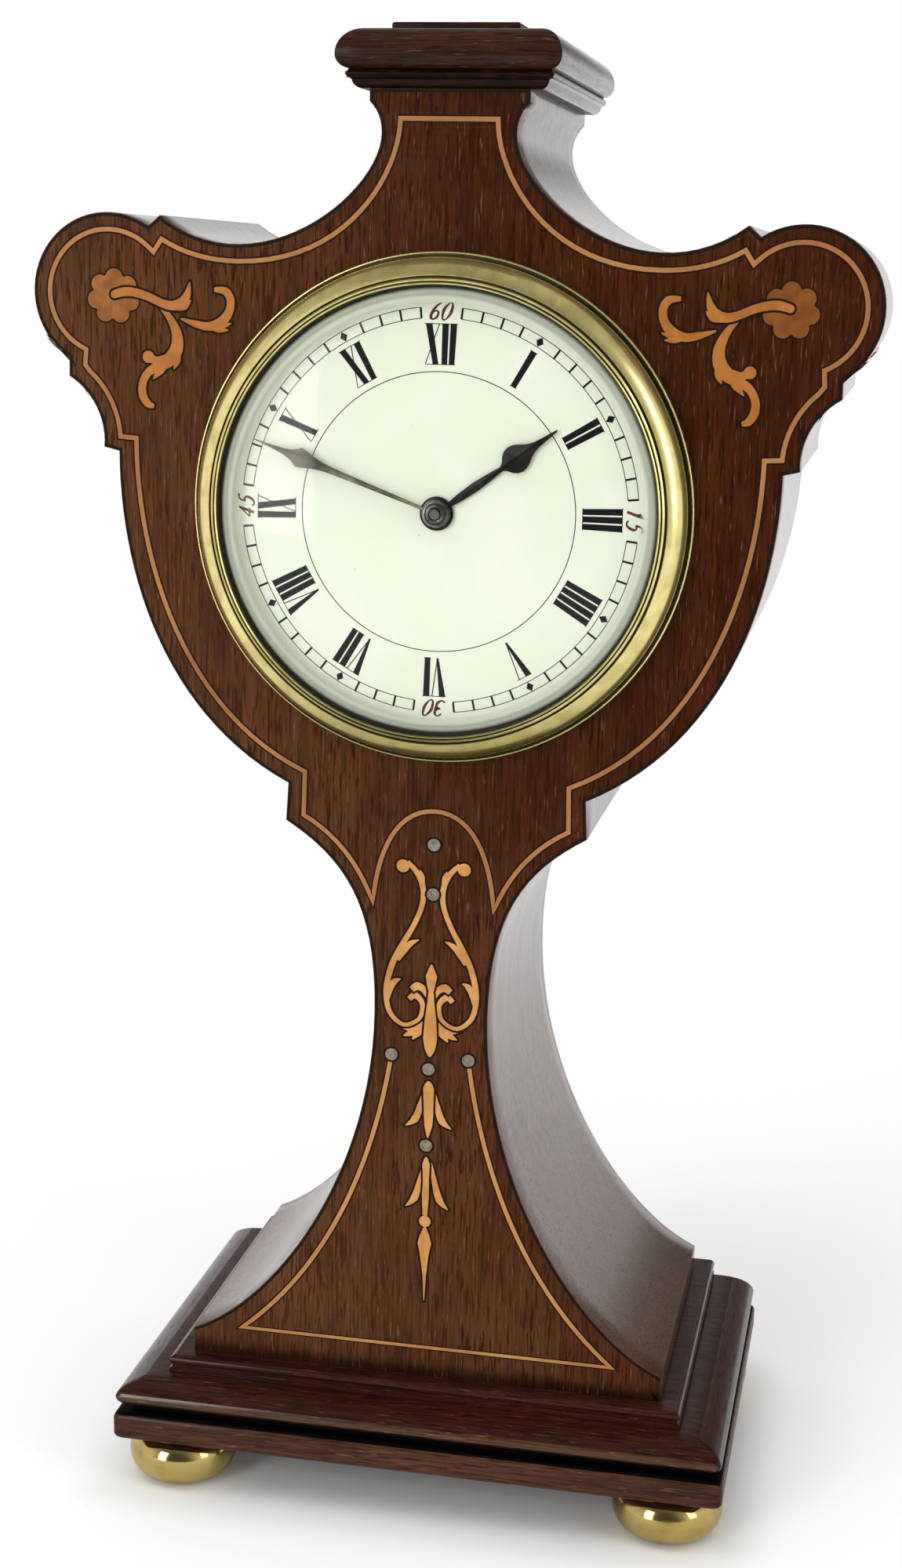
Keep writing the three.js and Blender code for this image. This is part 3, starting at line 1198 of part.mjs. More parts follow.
// Centre arbor right through the movement, with the set knob behind and the hands in front
const dialFace = sightRingBack - DIAL_DOME;
const hourHandBack = dialFace - HAND_SPACE;
const hourHandFront = hourHandBack - HAND_THICKNESS;
const minuteHandBack = hourHandFront - HAND_SPACE;
const minuteHandFront = minuteHandBack - HAND_THICKNESS;
const colletFront = minuteHandFront - COLLET_THICKNESS;
const knobFront = platformDepth + KNOB_STANDOFF;
const knobBack = knobFront + KNOB_THICKNESS;
const arborFront = colletFront - HAND_SPACE;
const arborBack = knobBack + HAND_SPACE;
piece(head, 'centre_arbor', rod(CENTRE_ARBOR_RADIUS, arborFront, arborBack, centreAt), steel);

const cannonTurn = 0;
const minuteWheelTurn = meshTurn(centreAt, CANNON_LEAVES, cannonTurn, motionAt, MINUTE_WHEEL_TEETH);
const hourModule = (2 * motionReach) / (HOUR_WHEEL_TEETH + MINUTE_PINION_LEAVES);
const hourWheelTurn = meshTurn(motionAt, MINUTE_PINION_LEAVES, minuteWheelTurn, centreAt, HOUR_WHEEL_TEETH);
const hourWheelBack = hourWheelFront + WHEEL_THICKNESS;
const minuteWheelBack = minuteWheelFront + WHEEL_THICKNESS;

piece(head, 'cannon_pinion', cut(
  join(
    pinionBar(CANNON_LEAVES, MOTION_MODULE, cannonTurn, centreAt,
      minuteWheelFront - PINION_LENGTH / 4, FRONT_PLATE_DEPTH - END_SHAKE),
    rod(CANNON_PIPE_RADIUS, minuteHandFront, FRONT_PLATE_DEPTH - END_SHAKE, centreAt, SMALL_STEPS),
  ),
  rod(centreHole, minuteHandFront - 1, FRONT_PLATE_DEPTH + 1, centreAt),
), steel);

const motionHole = roundHole(MINUTE_POST_RADIUS + RUNNING_FIT, PIN_STEPS);
piece(head, 'minute_wheel', cut(
  join(
    pinionBar(MINUTE_PINION_LEAVES, hourModule, minuteWheelTurn, motionAt, motionFront, minuteWheelBack),
    solidWheel(MINUTE_WHEEL_TEETH, MOTION_MODULE, minuteWheelTurn, motionAt, minuteWheelFront),
  ),
  rod(motionHole, motionFront - 1, minuteWheelBack + 1, motionAt),
), brass);

const hourPipeInner = roundHole(CANNON_PIPE_RADIUS + RUNNING_FIT, SMALL_STEPS);
const hourPipeRadius = hourPipeInner + HOUR_PIPE_WALL;
piece(head, 'hour_wheel', cut(
  join(
    solidWheel(HOUR_WHEEL_TEETH, hourModule, hourWheelTurn, centreAt, hourWheelFront),
    rod(hourPipeRadius, hourHandFront, hourWheelBack, centreAt, SMALL_STEPS),
  ),
  rod(hourPipeInner, hourHandFront - 1, hourWheelBack + 1, centreAt, SMALL_STEPS),
), brass);

// Hands, drawn pointing along +X and turned to the time shown
function handShape(half, turn) {
  const whole = [...half, ...half.map(({ x, y }) => point(x, -y)).reverse()];
  return new THREE.Shape(whole.map((p) => p.rotateAround(point(0, 0), radians(turn))));
}

function bossedHand(outline, turn, bossRadius, bore, front, back) {
  const blade = plate(handShape(outline, turn), front, back);
  const boss = rod(bossRadius, front, back, centreAt, SMALL_STEPS);
  return cut(join(blade, boss), rod(bore, front - 1, back + 1, centreAt, SMALL_STEPS));
}

const hourHandReach = BEZEL_SIGHT_RADIUS - HOUR_HAND_MARGIN;
const minuteHandReach = BEZEL_SIGHT_RADIUS - MINUTE_HAND_MARGIN;
const shownHours = SHOWN_HOUR + SHOWN_MINUTE / 60;
const hourTurn = 90 - 30 * shownHours;
const minuteTurn = 90 - 6 * SHOWN_MINUTE;
const hourOutline = [
  point(0, HOUR_NECK_HALF),
  point(HOUR_BOSS_RADIUS, HOUR_NECK_HALF),
  point((HOUR_BOSS_RADIUS + HOUR_PEAR_START) / 2, HOUR_STEM_HALF),
  point(HOUR_PEAR_START, HOUR_NECK_HALF),
  ...new THREE.CubicBezierCurve(
    point(HOUR_PEAR_START, HOUR_NECK_HALF),
    point(HOUR_PEAR_START, 1.5 * HOUR_PEAR_HALF),
    point(HOUR_PEAR_START + 2 * HOUR_PEAR_HALF, HOUR_PEAR_HALF),
    point(hourHandReach, HOUR_NECK_HALF / 2),
  ).getPoints(8).slice(1),
];
piece(head, 'hour_hand', bossedHand(hourOutline, hourTurn, HOUR_BOSS_RADIUS,
  roundHole(hourPipeRadius + RUNNING_FIT, SMALL_STEPS), hourHandFront, hourHandBack), bluedSteel);

const minuteOutline = [
  point(0, MINUTE_STEM_HALF),
  point(MINUTE_BOSS_RADIUS, MINUTE_STEM_HALF),
  point(MINUTE_LOZENGE_START, MINUTE_STEM_HALF),
  point((2 * MINUTE_LOZENGE_START + minuteHandReach) / 3, MINUTE_LOZENGE_HALF),
  point(minuteHandReach, MINUTE_STEM_HALF / 2),
];
const cannonSeat = roundHole(CANNON_PIPE_RADIUS + RUNNING_FIT, SMALL_STEPS);
piece(head, 'minute_hand', bossedHand(minuteOutline, minuteTurn, MINUTE_BOSS_RADIUS, cannonSeat,
  minuteHandFront, minuteHandBack), bluedSteel);

piece(head, 'hand_collet', turned([
  [centreHole, minuteHandFront],
  [COLLET_RADIUS, minuteHandFront],
  [COLLET_RADIUS, minuteHandFront - COLLET_THICKNESS / 2],
  [COLLET_RADIUS - COLLET_THICKNESS / 2, colletFront],
  [centreHole, colletFront],
  [centreHole, minuteHandFront],
], SMALL_STEPS), steel);

function knobOutline() {
  const points = [];
  const step = 360 / KNOB_FLUTES;
  for (let i = 0; i < KNOB_FLUTES; i += 1) {
    points.push(bearing((i - 0.3) * step, KNOB_RADIUS));
    points.push(bearing((i + 0.3) * step, KNOB_RADIUS));
    points.push(bearing((i + 0.5) * step, 0.92 * KNOB_RADIUS));
  }
  return points;
}
const knobShape = new THREE.Shape(knobOutline());
knobShape.holes.push(new THREE.Path(circlePoints(centreHole, PIN_STEPS)));
piece(head, 'set_knob', plate(knobShape, knobFront, knobBack), brass);

// Back ring on the case back: a spigot in the drum, a flange and two hinge knuckles
const flangeFront = CASE_DEPTH;
const flangeBack = flangeFront + BACK_RING_FLANGE;
const spigotRadius = drumInner * Math.cos(Math.PI / ROUND_STEPS) - SEAT_GAP;
const spigotFront = DRUM_LENGTH - BACK_SPIGOT_LENGTH;
const doorFront = flangeBack + SEAT_GAP;
const doorBack = doorFront + DOOR_THICKNESS;
const hingeDepth = (doorFront + doorBack) / 2;
const hingeHole = roundHole(HINGE_PIN_RADIUS + RUNNING_FIT, PIN_STEPS);
const knuckleHalf = KNUCKLE_LENGTH / 2;

function knuckle(low, high) {
  const barrelShape = new THREE.CylinderGeometry(KNUCKLE_RADIUS, KNUCKLE_RADIUS, high - low, PIN_STEPS);
  return barrelShape.rotateX(Math.PI / 2).translate(-HINGE_OFFSET, hingeDepth, (low + high) / 2);
}

function hingeBore() {
  const length = 4 * KNUCKLE_LENGTH;
  const bore = new THREE.CylinderGeometry(hingeHole, hingeHole, length, PIN_STEPS);
  return bore.rotateX(Math.PI / 2).translate(-HINGE_OFFSET, hingeDepth, 0);
}

const outerLow = knuckleHalf + KNUCKLE_GAP;
const outerHigh = outerLow + KNUCKLE_LENGTH;
const leafInner = -BACK_RING_RADIUS + 2;
const backRing = turned([
  [spigotRadius - BACK_RING_WALL, spigotFront],
  [spigotRadius, spigotFront],
  [spigotRadius, flangeFront],
  [BACK_RING_RADIUS, flangeFront],
  [BACK_RING_RADIUS, flangeBack],
  [spigotRadius - BACK_RING_WALL, flangeBack],
  [spigotRadius - BACK_RING_WALL, spigotFront],
], ROUND_STEPS);
const ringLeaves = [1, -1].flatMap((side) => {
  const low = Math.min(side * outerLow, side * outerHigh);
  const high = Math.max(side * outerLow, side * outerHigh);
  return [knuckle(low, high), block(-HINGE_OFFSET, leafInner, flangeFront, flangeBack, low, high)];
});
piece(head, 'back_ring', cut(join(backRing, ...ringLeaves), hingeBore()), brass);

const doorDisc = rod(DOOR_RADIUS, doorFront, doorBack, centreAt, ROUND_STEPS);
const doorLeaf = block(-HINGE_OFFSET, 2 - DOOR_RADIUS, doorFront, doorBack, -knuckleHalf, knuckleHalf);
const doorKnuckle = knuckle(-knuckleHalf, knuckleHalf);
piece(head, 'back_door', cut(join(doorDisc, doorLeaf, doorKnuckle), hingeBore()), brass);

const pinLength = 2 * outerHigh;
const hingePin = new THREE.CylinderGeometry(HINGE_PIN_RADIUS, HINGE_PIN_RADIUS, pinLength, PIN_STEPS);
piece(head, 'hinge_pin', hingePin.rotateX(Math.PI / 2).translate(-HINGE_OFFSET, hingeDepth, 0), steel);

const knobAt = point(DOOR_RADIUS - DOOR_KNOB_INSET, 0);
piece(head, 'door_knob', turned([
  [0, doorBack],
  [0.6 * DOOR_KNOB_RADIUS, doorBack],
  [DOOR_KNOB_RADIUS, doorBack + DOOR_KNOB_HEIGHT / 2],
  [0.8 * DOOR_KNOB_RADIUS, doorBack + DOOR_KNOB_HEIGHT],
  [0, doorBack + DOOR_KNOB_HEIGHT],
], SMALL_STEPS, knobAt), brass);

export default clock;
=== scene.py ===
# Inlaid mahogany balloon clock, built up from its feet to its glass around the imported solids.
# Sizes are written in millimetres, and become metres as they go into a mesh.
import json
import math
import bpy
from mathutils import Matrix, Vector

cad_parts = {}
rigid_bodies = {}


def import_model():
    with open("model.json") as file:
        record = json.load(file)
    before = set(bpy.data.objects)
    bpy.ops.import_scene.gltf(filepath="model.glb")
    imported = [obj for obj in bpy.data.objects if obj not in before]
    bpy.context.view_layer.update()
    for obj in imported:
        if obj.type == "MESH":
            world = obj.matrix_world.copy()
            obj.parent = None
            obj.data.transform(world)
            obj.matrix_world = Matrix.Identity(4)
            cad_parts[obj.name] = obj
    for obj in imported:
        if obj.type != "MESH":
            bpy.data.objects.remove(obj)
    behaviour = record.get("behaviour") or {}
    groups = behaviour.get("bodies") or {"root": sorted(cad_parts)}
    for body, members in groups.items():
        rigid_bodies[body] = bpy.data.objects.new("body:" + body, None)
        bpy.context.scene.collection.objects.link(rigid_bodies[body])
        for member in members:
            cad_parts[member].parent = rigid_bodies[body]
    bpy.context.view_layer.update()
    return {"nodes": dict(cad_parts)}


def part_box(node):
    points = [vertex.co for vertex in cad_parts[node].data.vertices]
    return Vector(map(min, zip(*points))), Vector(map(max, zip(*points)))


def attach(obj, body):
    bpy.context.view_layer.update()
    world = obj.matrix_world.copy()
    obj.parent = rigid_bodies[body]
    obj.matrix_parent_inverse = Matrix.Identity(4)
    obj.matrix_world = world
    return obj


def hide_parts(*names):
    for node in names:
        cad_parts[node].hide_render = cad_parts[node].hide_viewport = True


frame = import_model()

bpy.context.scene.view_settings.view_transform = "Standard"


# Bun feet
# Four flat buns turned from solid brass and polished, each on a stud that screws up into the base plate.
# The sole is worn flat where it stands, and a short neck seats against the wood.
class Finish:
    """A socket in the node tree of a finish: sums with it add Math nodes, node() adds any other kind."""

    def __init__(self, tree, socket=None):
        self.tree = tree
        self.socket = socket

    def node(self, kind, settings=None, values=None, out=0):
        made = self.tree.nodes.new("ShaderNode" + kind)
        for name, value in (settings or {}).items():
            setattr(made, name, value)
        for name, value in (values or {}).items():
            socket = made.inputs[name]
            if isinstance(value, Finish):
                self.tree.links.new(value.socket, socket)
            elif socket.type == "RGBA":
                socket.default_value = (*value, 1)
            else:
                socket.default_value = value
        return Finish(self.tree, made.outputs[out] if len(made.outputs) else None)

    def maths(self, operation, first, second=0.0):
        return self.node("Math", {"operation": operation}, {0: first, 1: second})

    def __add__(self, other):
        return self.maths("ADD", self, other)

    def __sub__(self, other):
        return self.maths("SUBTRACT", self, other)

    def __rsub__(self, other):
        return self.maths("SUBTRACT", other, self)

    def __mul__(self, other):
        return self.maths("MULTIPLY", self, other)

    def __pow__(self, other):
        return self.maths("POWER", self, other)

    def __abs__(self):
        return self.maths("ABSOLUTE", self)

    __radd__ = __add__
    __rmul__ = __mul__

    def step(self, low, high):
        """0 below low, 1 above high, smooth between."""
        ends = {0: self, 1: low, 2: high, 3: 0.0, 4: 1.0}
        return self.node("MapRange", {"interpolation_type": "SMOOTHSTEP"}, ends)

    def tint(self, first, second):
        """The first colour where this is 0, the second where it is 1."""
        return self.node("Mix", {"data_type": "RGBA"}, {0: self, 6: first, 7: second}, 2)

    def noise(self, spot, scale, detail=2.0, twist=0.0):
        values = {"Vector": spot, "Scale": scale, "Detail": detail, "Distortion": twist}
        return self.node("TexNoise", {}, values)

    def spot(self, stretch=(1, 1, 1), shift=(0, 0, 0)):
        """Where a point of the piece is, in millimetres, moved and then stretched along each axis."""
        place = self.node("TexCoord", out="Object")
        place = self.node("VectorMath", {"operation": "SUBTRACT"}, {0: place, 1: shift})
        return self.node("VectorMath", {"operation": "MULTIPLY"}, {0: place, 1: [1000 * s for s in stretch]})

    def grain(self, along, squeeze):
        """Where a point is with one axis squeezed, so that what is drawn there runs long on that axis."""
        stretch = [1.0, 1.0, 1.0]
        stretch[along] = squeeze
        return self.spot(stretch)

    def axis(self, name, spot):
        """One part of a place or a direction."""
        return self.node("SeparateXYZ", {}, {0: spot}, name)

    def length(self, stretch, shift):
        """How far a point is from a place, in millimetres, with an axis left out where stretch is 0."""
        return self.node("VectorMath", {"operation": "LENGTH"}, {0: self.spot(stretch, shift)}, "Value")

    def bump(self, height, depth, strength=1.0):
        return self.node("Bump", {}, {"Strength": strength, "Distance": depth / 1000, "Height": height})

    def surface(self, values):
        self.node("OutputMaterial", {}, {"Surface": self.node("BsdfPrincipled", {}, values)})


def new_finish(name):
    material = bpy.data.materials.new(name)
    material.use_nodes = True
    material.node_tree.nodes.clear()
    return material, Finish(material.node_tree)


def polished_metal(name, bright, dull, gloss, cloud, mark):
    """Metal rubbed bright: cloudy tarnish over cloud millimetres and fine rubbing marks."""
    material, start = new_finish(name)
    tarnish = start.noise(start.spot(), 1 / cloud, 4, 0.4).step(0.42, 0.72)
    rubbing = start.noise(start.spot(), 1 / mark, 3)
    start.surface({
        "Base Color": tarnish.tint(bright, dull),
        "Metallic": 1.0,
        "Roughness": gloss + 0.14 * tarnish + 0.1 * rubbing,
        "Normal": start.bump(rubbing, 0.02, 0.35),
    })
    return material


def begin(name):
    """Starts a piece as an empty mesh in edit mode."""
    bpy.ops.object.select_all(action="DESELECT")
    bpy.ops.mesh.primitive_plane_add(size=0.001)
    piece = bpy.context.object
    piece.name = piece.data.name = name
    bpy.ops.object.mode_set(mode="EDIT")
    bpy.ops.mesh.delete(type="VERT")
    return piece


def draw(points, filled=False):
    """Draws a line of edges by pulling one corner from point to point, and fills it if asked."""
    bpy.ops.mesh.select_all(action="DESELECT")
    bpy.ops.mesh.primitive_plane_add(size=0.001)
    bpy.ops.mesh.merge(type="CENTER")
    bpy.ops.transform.translate(value=points[0])
    for here, there in zip(points, points[1:]):
        bpy.ops.mesh.extrude_region_move(TRANSFORM_OT_translate={"value": there - here})
    bpy.ops.mesh.select_linked()
    if filled:
        bpy.ops.mesh.edge_face_add()


def close_up(piece, angle=35):
    """Joins the seams, turns the faces outwards and shades the piece smooth up to an angle."""
    bpy.ops.mesh.select_all(action="SELECT")
    bpy.ops.mesh.remove_doubles(threshold=1e-6)
    bpy.ops.mesh.normals_make_consistent(inside=False)
    bpy.ops.object.mode_set(mode="OBJECT")
    bpy.ops.object.shade_smooth_by_angle(angle=math.radians(angle))
    return piece


def turned(name, profile, centre, axis, steps, angle=35):
    """Lathe work: a profile of (radius, along) in millimetres, spun round an axis through centre."""
    piece = begin(name)
    draw([centre + (Vector((1, 0, 0)) * radius + axis * along) / 1000 for radius, along in profile])
    bpy.ops.mesh.spin(steps=steps, angle=math.tau, center=centre, axis=axis)
    return close_up(piece, angle)


def copied(piece, name, shift):
    """A copy of a piece with its own mesh, shifted in that mesh."""
    bpy.ops.object.select_all(action="DESELECT")
    piece.select_set(True)
    bpy.context.view_layer.objects.active = piece
    bpy.ops.object.duplicate()
    copy = bpy.context.object
    copy.name = copy.data.name = name
    bpy.ops.object.mode_set(mode="EDIT")
    bpy.ops.mesh.select_all(action="SELECT")
    bpy.ops.transform.translate(value=shift)
    bpy.ops.object.mode_set(mode="OBJECT")
    return copy


def turned_alike(name, profile, spots, axis, steps):
    """Like pieces, one at each named spot: the first is turned, and the others are copies of it."""
    (first, first_spot), *others = spots.items()
    pieces = {first: turned(name + first, profile, first_spot, axis, steps)}
    for place, spot in others:
        pieces[place] = copied(pieces[first], name + place, spot - first_spot)
    return pieces


def bend(line, steps, *spots):
    """Carries a line on from its last point, in a curve drawn towards the spots that ends at the last one."""
    corners = (line[-1], *spots)
    for i in range(1, steps + 1):
        gone = i / steps
        row = corners
        while len(row) > 1:
            pairs = zip(row, row[1:])
            row = [tuple((1 - gone) * a + gone * b for a, b in zip(here, there)) for here, there in pairs]
        line.append(row[0])
    return line


def fit(piece, slot, *finishes, body="case", instead_of=None):
    """Gives a piece its finishes and the body that carries it, and hides the solid that it stands for."""
    for finish in finishes:
        piece.data.materials.append(finish)
    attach(piece, body)
    if instead_of:
        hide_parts(instead_of)


up = Vector((0, 0, 1))
foot_brass = polished_metal("foot_brass", (0.56, 0.42, 0.15), (0.36, 0.25, 0.075), 0.04, 9, 1.4)
foot_low, foot_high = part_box("foot_front_left")
foot_radius = 500 * (foot_high.x - foot_low.x)
foot_height = 1000 * foot_high.z
sole_radius, neck_radius, widest = 4.6, 7.5, 5.4
foot_profile = [(0, 0), (sole_radius, 0)]
bend(foot_profile, 14, (foot_radius - 0.3, 0.4), (foot_radius, widest))
bend(foot_profile, 10, (foot_radius - 0.2, foot_height - 1.6), (neck_radius + 0.5, foot_height - 0.9))
foot_profile += [(neck_radius, foot_height - 0.75), (neck_radius, foot_height), (0, foot_height)]
foot_spots = {}
for place in ("front_left", "front_right", "back_left", "back_right"):
    low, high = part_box("foot_" + place)
    foot_spots[place] = Vector(((low.x + high.x) / 2, (low.y + high.y) / 2, 0))
for place, foot in turned_alike("bun_foot_", foot_profile, foot_spots, up, 72).items():
    fit(foot, "polished_brass", foot_brass, instead_of="foot_" + place)


# Base plate
# A mahogany board with softly rounded edges, its grain running from end to end, stained and polished.
# It is glued and screwed up into the plinth from below, and the four feet screw into it.
end_to_end, front_to_back, upright = 0, 1, 2


def polished_wood(name, along, deep, warm, pale, polish, sheen, sunned=None):
    """Mahogany under polish: broad figure, fine dark and pale streaks and short pores along the grain.
    With a sunned pair of colours, the wood turns to that pair towards the left and the foot of the front,
    and the last few millimetres above the plinth step are painted darker as shade in the corner there."""
    material, start = new_finish(name)
    fine, short, broad = [start.grain(along, squeeze) for squeeze in (0.04, 0.09, 0.3)]
    figure = start.noise(broad, 0.07, 3, 0.6).step(0.28, 0.72)
    bands = start.noise(fine, 0.4, 2, 0.4).step(0.3, 0.72)
    streaks = start.noise(fine, 2.2, 2, 0.2).step(0.34, 0.68)
    pores = start.noise(short, 2.1, 3, 0.4).step(0.51, 0.62) * (0.5 + 0.5 * figure)
    glints = start.noise(short, 2.6, 2, 0.3).step(0.62, 0.74)
    share = 0.35 * figure + 0.25 * bands + 0.4 * streaks
    wood = share.tint(deep, warm)
    if sunned:
        side = start.axis("X", start.spot((1 / 130, 1, 1)))
        rise = start.axis("Z", start.spot((1, 1, 1 / 400), (0, 0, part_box("dial")[0].z)))
        wood = (0.42 - side - rise).step(0.0, 1.0).tint(wood, share.tint(*sunned))
        # Painted shade: the front is darkened in its last few millimetres above the plinth step, where the
        # corner lies in shadow.
        above = start.axis("Z", start.spot((1, 1, 1), (0, 0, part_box("case_front")[0].z)))
        wood = (0.75 - 0.75 * above.step(0.6, 3.8)).tint(wood, [0.25 * part for part in deep])
    wood = (pores * 0.7).tint(wood, [0.3 * part for part in deep])
    wood = (glints * 0.45).tint(wood, pale)
    grazing = start.node("LayerWeight", {}, {"Blend": 0.5}, "Facing").step(0.4, 0.9)
    start.surface({
        "Base Color": wood,
        "Roughness": 0.42 + 0.12 * streaks + 0.2 * pores,
        "Specular IOR Level": sheen,
        "Coat Weight": polish * (0.5 + 0.5 * grazing) * (0.92 + 0.08 * bands - 0.08 * pores),
        "Coat Roughness": 0.14,
        "Coat IOR": 1.6,
        "Normal": start.bump(streaks * 0.3 - pores, 0.03, 0.4),
    })
    return material


def pull(x, y, z):
    """Pulls the selected faces out by millimetres."""
    bpy.ops.mesh.extrude_region_move(TRANSFORM_OT_translate={"value": (x / 1000, y / 1000, z / 1000)})


def mirrored(line):
    """A line of points and then its mirror image, back along the other side of the middle."""
    return line + [(-x, z) for x, z in reversed(line)]


def moulded_slab(name, node, profile, corner=0.3):
    """A slab with a moulding run on its front and ends, as wide and deep as the solid that it stands for.
    It is drawn up from the bottom of that solid, level by level, each level set in by its inset.
    The two front corners are worn round by the corner radius."""
    low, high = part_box(node)
    half_width = 500 * (high.x - low.x)
    front, back, bottom = 1000 * low.y, 1000 * high.y, 1000 * low.z
    piece = begin(name)
    inset, rise = profile[0]
    side, near = half_width - inset, front + inset
    edge = bend([(side - corner, near)], 5, (side, near), (side, near + corner)) + [(side, back)]
    draw([Vector((x, y, bottom + rise)) / 1000 for x, y in mirrored(edge)], filled=True)
    for next_inset, next_rise in profile[1:]:
        pull(0, 0, next_rise - rise)
        width_share = (half_width - next_inset) / (half_width - inset)
        depth_share = (back - front - next_inset) / (back - front - inset)
        middle = (0, back / 1000, (bottom + next_rise) / 1000)
        bpy.ops.transform.resize(value=(width_share, depth_share, 1), center_override=middle)
        inset, rise = next_inset, next_rise
    return close_up(piece, 40)


def arc(x, z, radius, first, last, steps, skip=1):
    """Points round a centre from one angle to another, without the first point unless skip is 0."""
    turns = [math.radians(first + (last - first) * i / steps) for i in range(skip, steps + 1)]
    return [(x + radius * math.cos(turn), z + radius * math.sin(turn)) for turn in turns]


def rounded(inset, rise, radius, first, last, steps):
    """Profile points round a nose of a slab: its centre, its radius, and angles up from the level."""
    return arc(inset, rise, radius, 180 - first, 180 - last, steps, 0)


base_wood = polished_wood("base_mahogany", end_to_end, (0.022, 0.0065, 0.003), (0.105, 0.036, 0.0165),
                          (0.2, 0.1, 0.06), 0.35, 0.05)
base_round = 1.3
base_profile = rounded(base_round, base_round, base_round, -90, 0, 8)
base_profile += rounded(base_round, 4.5, base_round, 0, 90, 8)
base_plate = moulded_slab("base_board", "base_plate", base_profile, 1.6)


# Ebonised fillet
# A strip of black-stained wood set back between the base plate and the moulding, which makes a dark groove.
# It is glued in. The ledge of the base plate in front of it takes the same black finish as painted shade,
# since that ledge lies in deep shadow.
ebony_and_ledge_shade, start = new_finish("ebonised_wood_and_ledge_shade")
dust = start.noise(start.grain(end_to_end, 0.1), 1.2, 3)
start.surface({
    "Base Color": dust.step(0.55, 0.9).tint((0.0015, 0.001, 0.001), (0.012, 0.009, 0.008)),
    "Roughness": 0.5 + 0.25 * dust,
    "Specular IOR Level": 0.06,
    "Normal": start.bump(dust, 0.03, 0.4),
})
fit(base_plate, "dark_mahogany", base_wood, ebony_and_ledge_shade, instead_of="base_plate")
# Painted shade: the upward faces of the base plate take the black finish, standing in for the shadow on the
# ledge.
for face in base_plate.data.polygons:
    face.material_index = 1 if face.normal.z > 0.75 else 0
hollow = [(0, 0), (0, 0.3), (0.2, 0.5), (0.2, 0.9), (0, 1.1), (0, 1.4)]
fillet = moulded_slab("black_fillet", "plinth_fillet", hollow)
fit(fillet, "ebonised", ebony_and_ledge_shade, instead_of="plinth_fillet")


# Plinth moulding and step
# A thumb moulding in dark red mahogany with a long sloping top, and a beaded step that carries the case.
# Both are mitred at the front corners, glued down and brought to a high gloss.
def fit_moulding(piece, node, front_finish, end_finish, forward_face_finish):
    """Fits a slab whose ends are polished brighter than its front, and whose forward-facing faces take their
    own finish, which on the plinth is painted paler as a lit band.
    """
    fit(piece, "dark_mahogany", front_finish, end_finish, forward_face_finish, instead_of=node)
    for face in piece.data.polygons:
        if abs(face.normal.x) > max(0.12, abs(face.normal.y)):
            face.material_index = 1
        # Painted light: faces turned to the front take the forward finish; on the plinth it is painted paler,
        # as the band lit from the front.
        elif face.normal.y < -0.85:
            face.material_index = 2


plinth_colours = ((0.016, 0.003, 0.0018), (0.055, 0.0135, 0.007), (0.16, 0.07, 0.045))
plinth_wood = polished_wood("plinth_mahogany", end_to_end, *plinth_colours, 0.45, 0.04)
plinth_end_wood = polished_wood("plinth_end_mahogany", front_to_back, *plinth_colours, 1.0, 0.3)
# Painted light: this nose finish is paler and yellower than the plinth, painted as the band where the nose
# faces the light.
lit_nose_wood = polished_wood("lit_nose_mahogany", end_to_end, (0.02, 0.006, 0.002), (0.115, 0.05, 0.019),
                          (0.3, 0.19, 0.11), 1.0, 0.04)
thumb_round = 2.1
thumb = [(thumb_round, 0)] + rounded(thumb_round, thumb_round, thumb_round, -60, 0, 8)
bend(thumb, 16, (0.9, 5.1), (8.2, 5.1))
plinth = moulded_slab("thumb_moulding", "plinth_moulding", thumb, 1.2)
fit_moulding(plinth, "plinth_moulding", plinth_wood, plinth_end_wood, lit_nose_wood)
bead = [(0.1, 0), (0.0, 0.1), (0.0, 0.8), (0.45, 1.1), (0.45, 1.3)] + rounded(1.05, 2.45, 1.05, -55, 90, 10)
step = moulded_slab("beaded_step", "plinth_step", bead)
fit_moulding(step, "plinth_step", plinth_wood, plinth_end_wood, plinth_wood)


# Case
# Front board, core and back board of solid mahogany, sawn to one outline, glued up and veneered all over.
# The grain of the veneer is upright, and the bent sides are polished brighter. The drum fills a round bore.
wood_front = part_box("case_front")[0].y
dial_low, dial_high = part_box("dial")
dial_height = (dial_low.z + dial_high.z) / 2
case_foot, case_top = [1000 * (corner.z - dial_height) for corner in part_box("case_front")]


def at(x, z, depth=0.0):
    """A point of the case: across and up from the dial centre, and behind the front of the wood."""
    return Vector((x / 1000, wood_front + depth / 1000, dial_height + z / 1000))


def depths(node):
    """How far the front and the back of a solid are behind the front of the wood."""
    return [1000 * (corner.y - wood_front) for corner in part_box(node)]


toe, waist, bowl, neck, flare = 48.8, 11.45, 63.75, 12.65, 15.0
right_edge = [(toe, case_foot), (toe, -171.7)]
bend(right_edge, 26, (32.5, -165.0), (waist, -135.3), (waist, -99.5))
bend(right_edge, 16, (waist, -77.4), (18.3, -68.8), (29.9, -61.9))
right_edge += [(29.5, -54.4)]
bend(right_edge, 26, (54.5, -42.4), (bowl, -15.0), (bowl, 9.1))
right_edge += [(66.8, 9.8)]
right_edge += arc(80.72, 11.0, 14.0, 185, 120.1, 12)
right_edge += [(73.7, 26.75)]
right_edge += arc(65.72, 39.17, 14.85, -57.2, 123.0, 30)
right_edge += [(55.4, 53.6)]
bend(right_edge, 26, (36.7, 39.6), (neck, 58.1), (neck, 69.0))
bend(right_edge, 6, (neck, 72.5), (flare, 74.6))
right_edge += [(flare, case_top)]
case_edge = mirrored(right_edge)
bore_radius = 40.4
bore = arc(0, 0, bore_radius, 0, 360, 96)
case_arris = 0.18


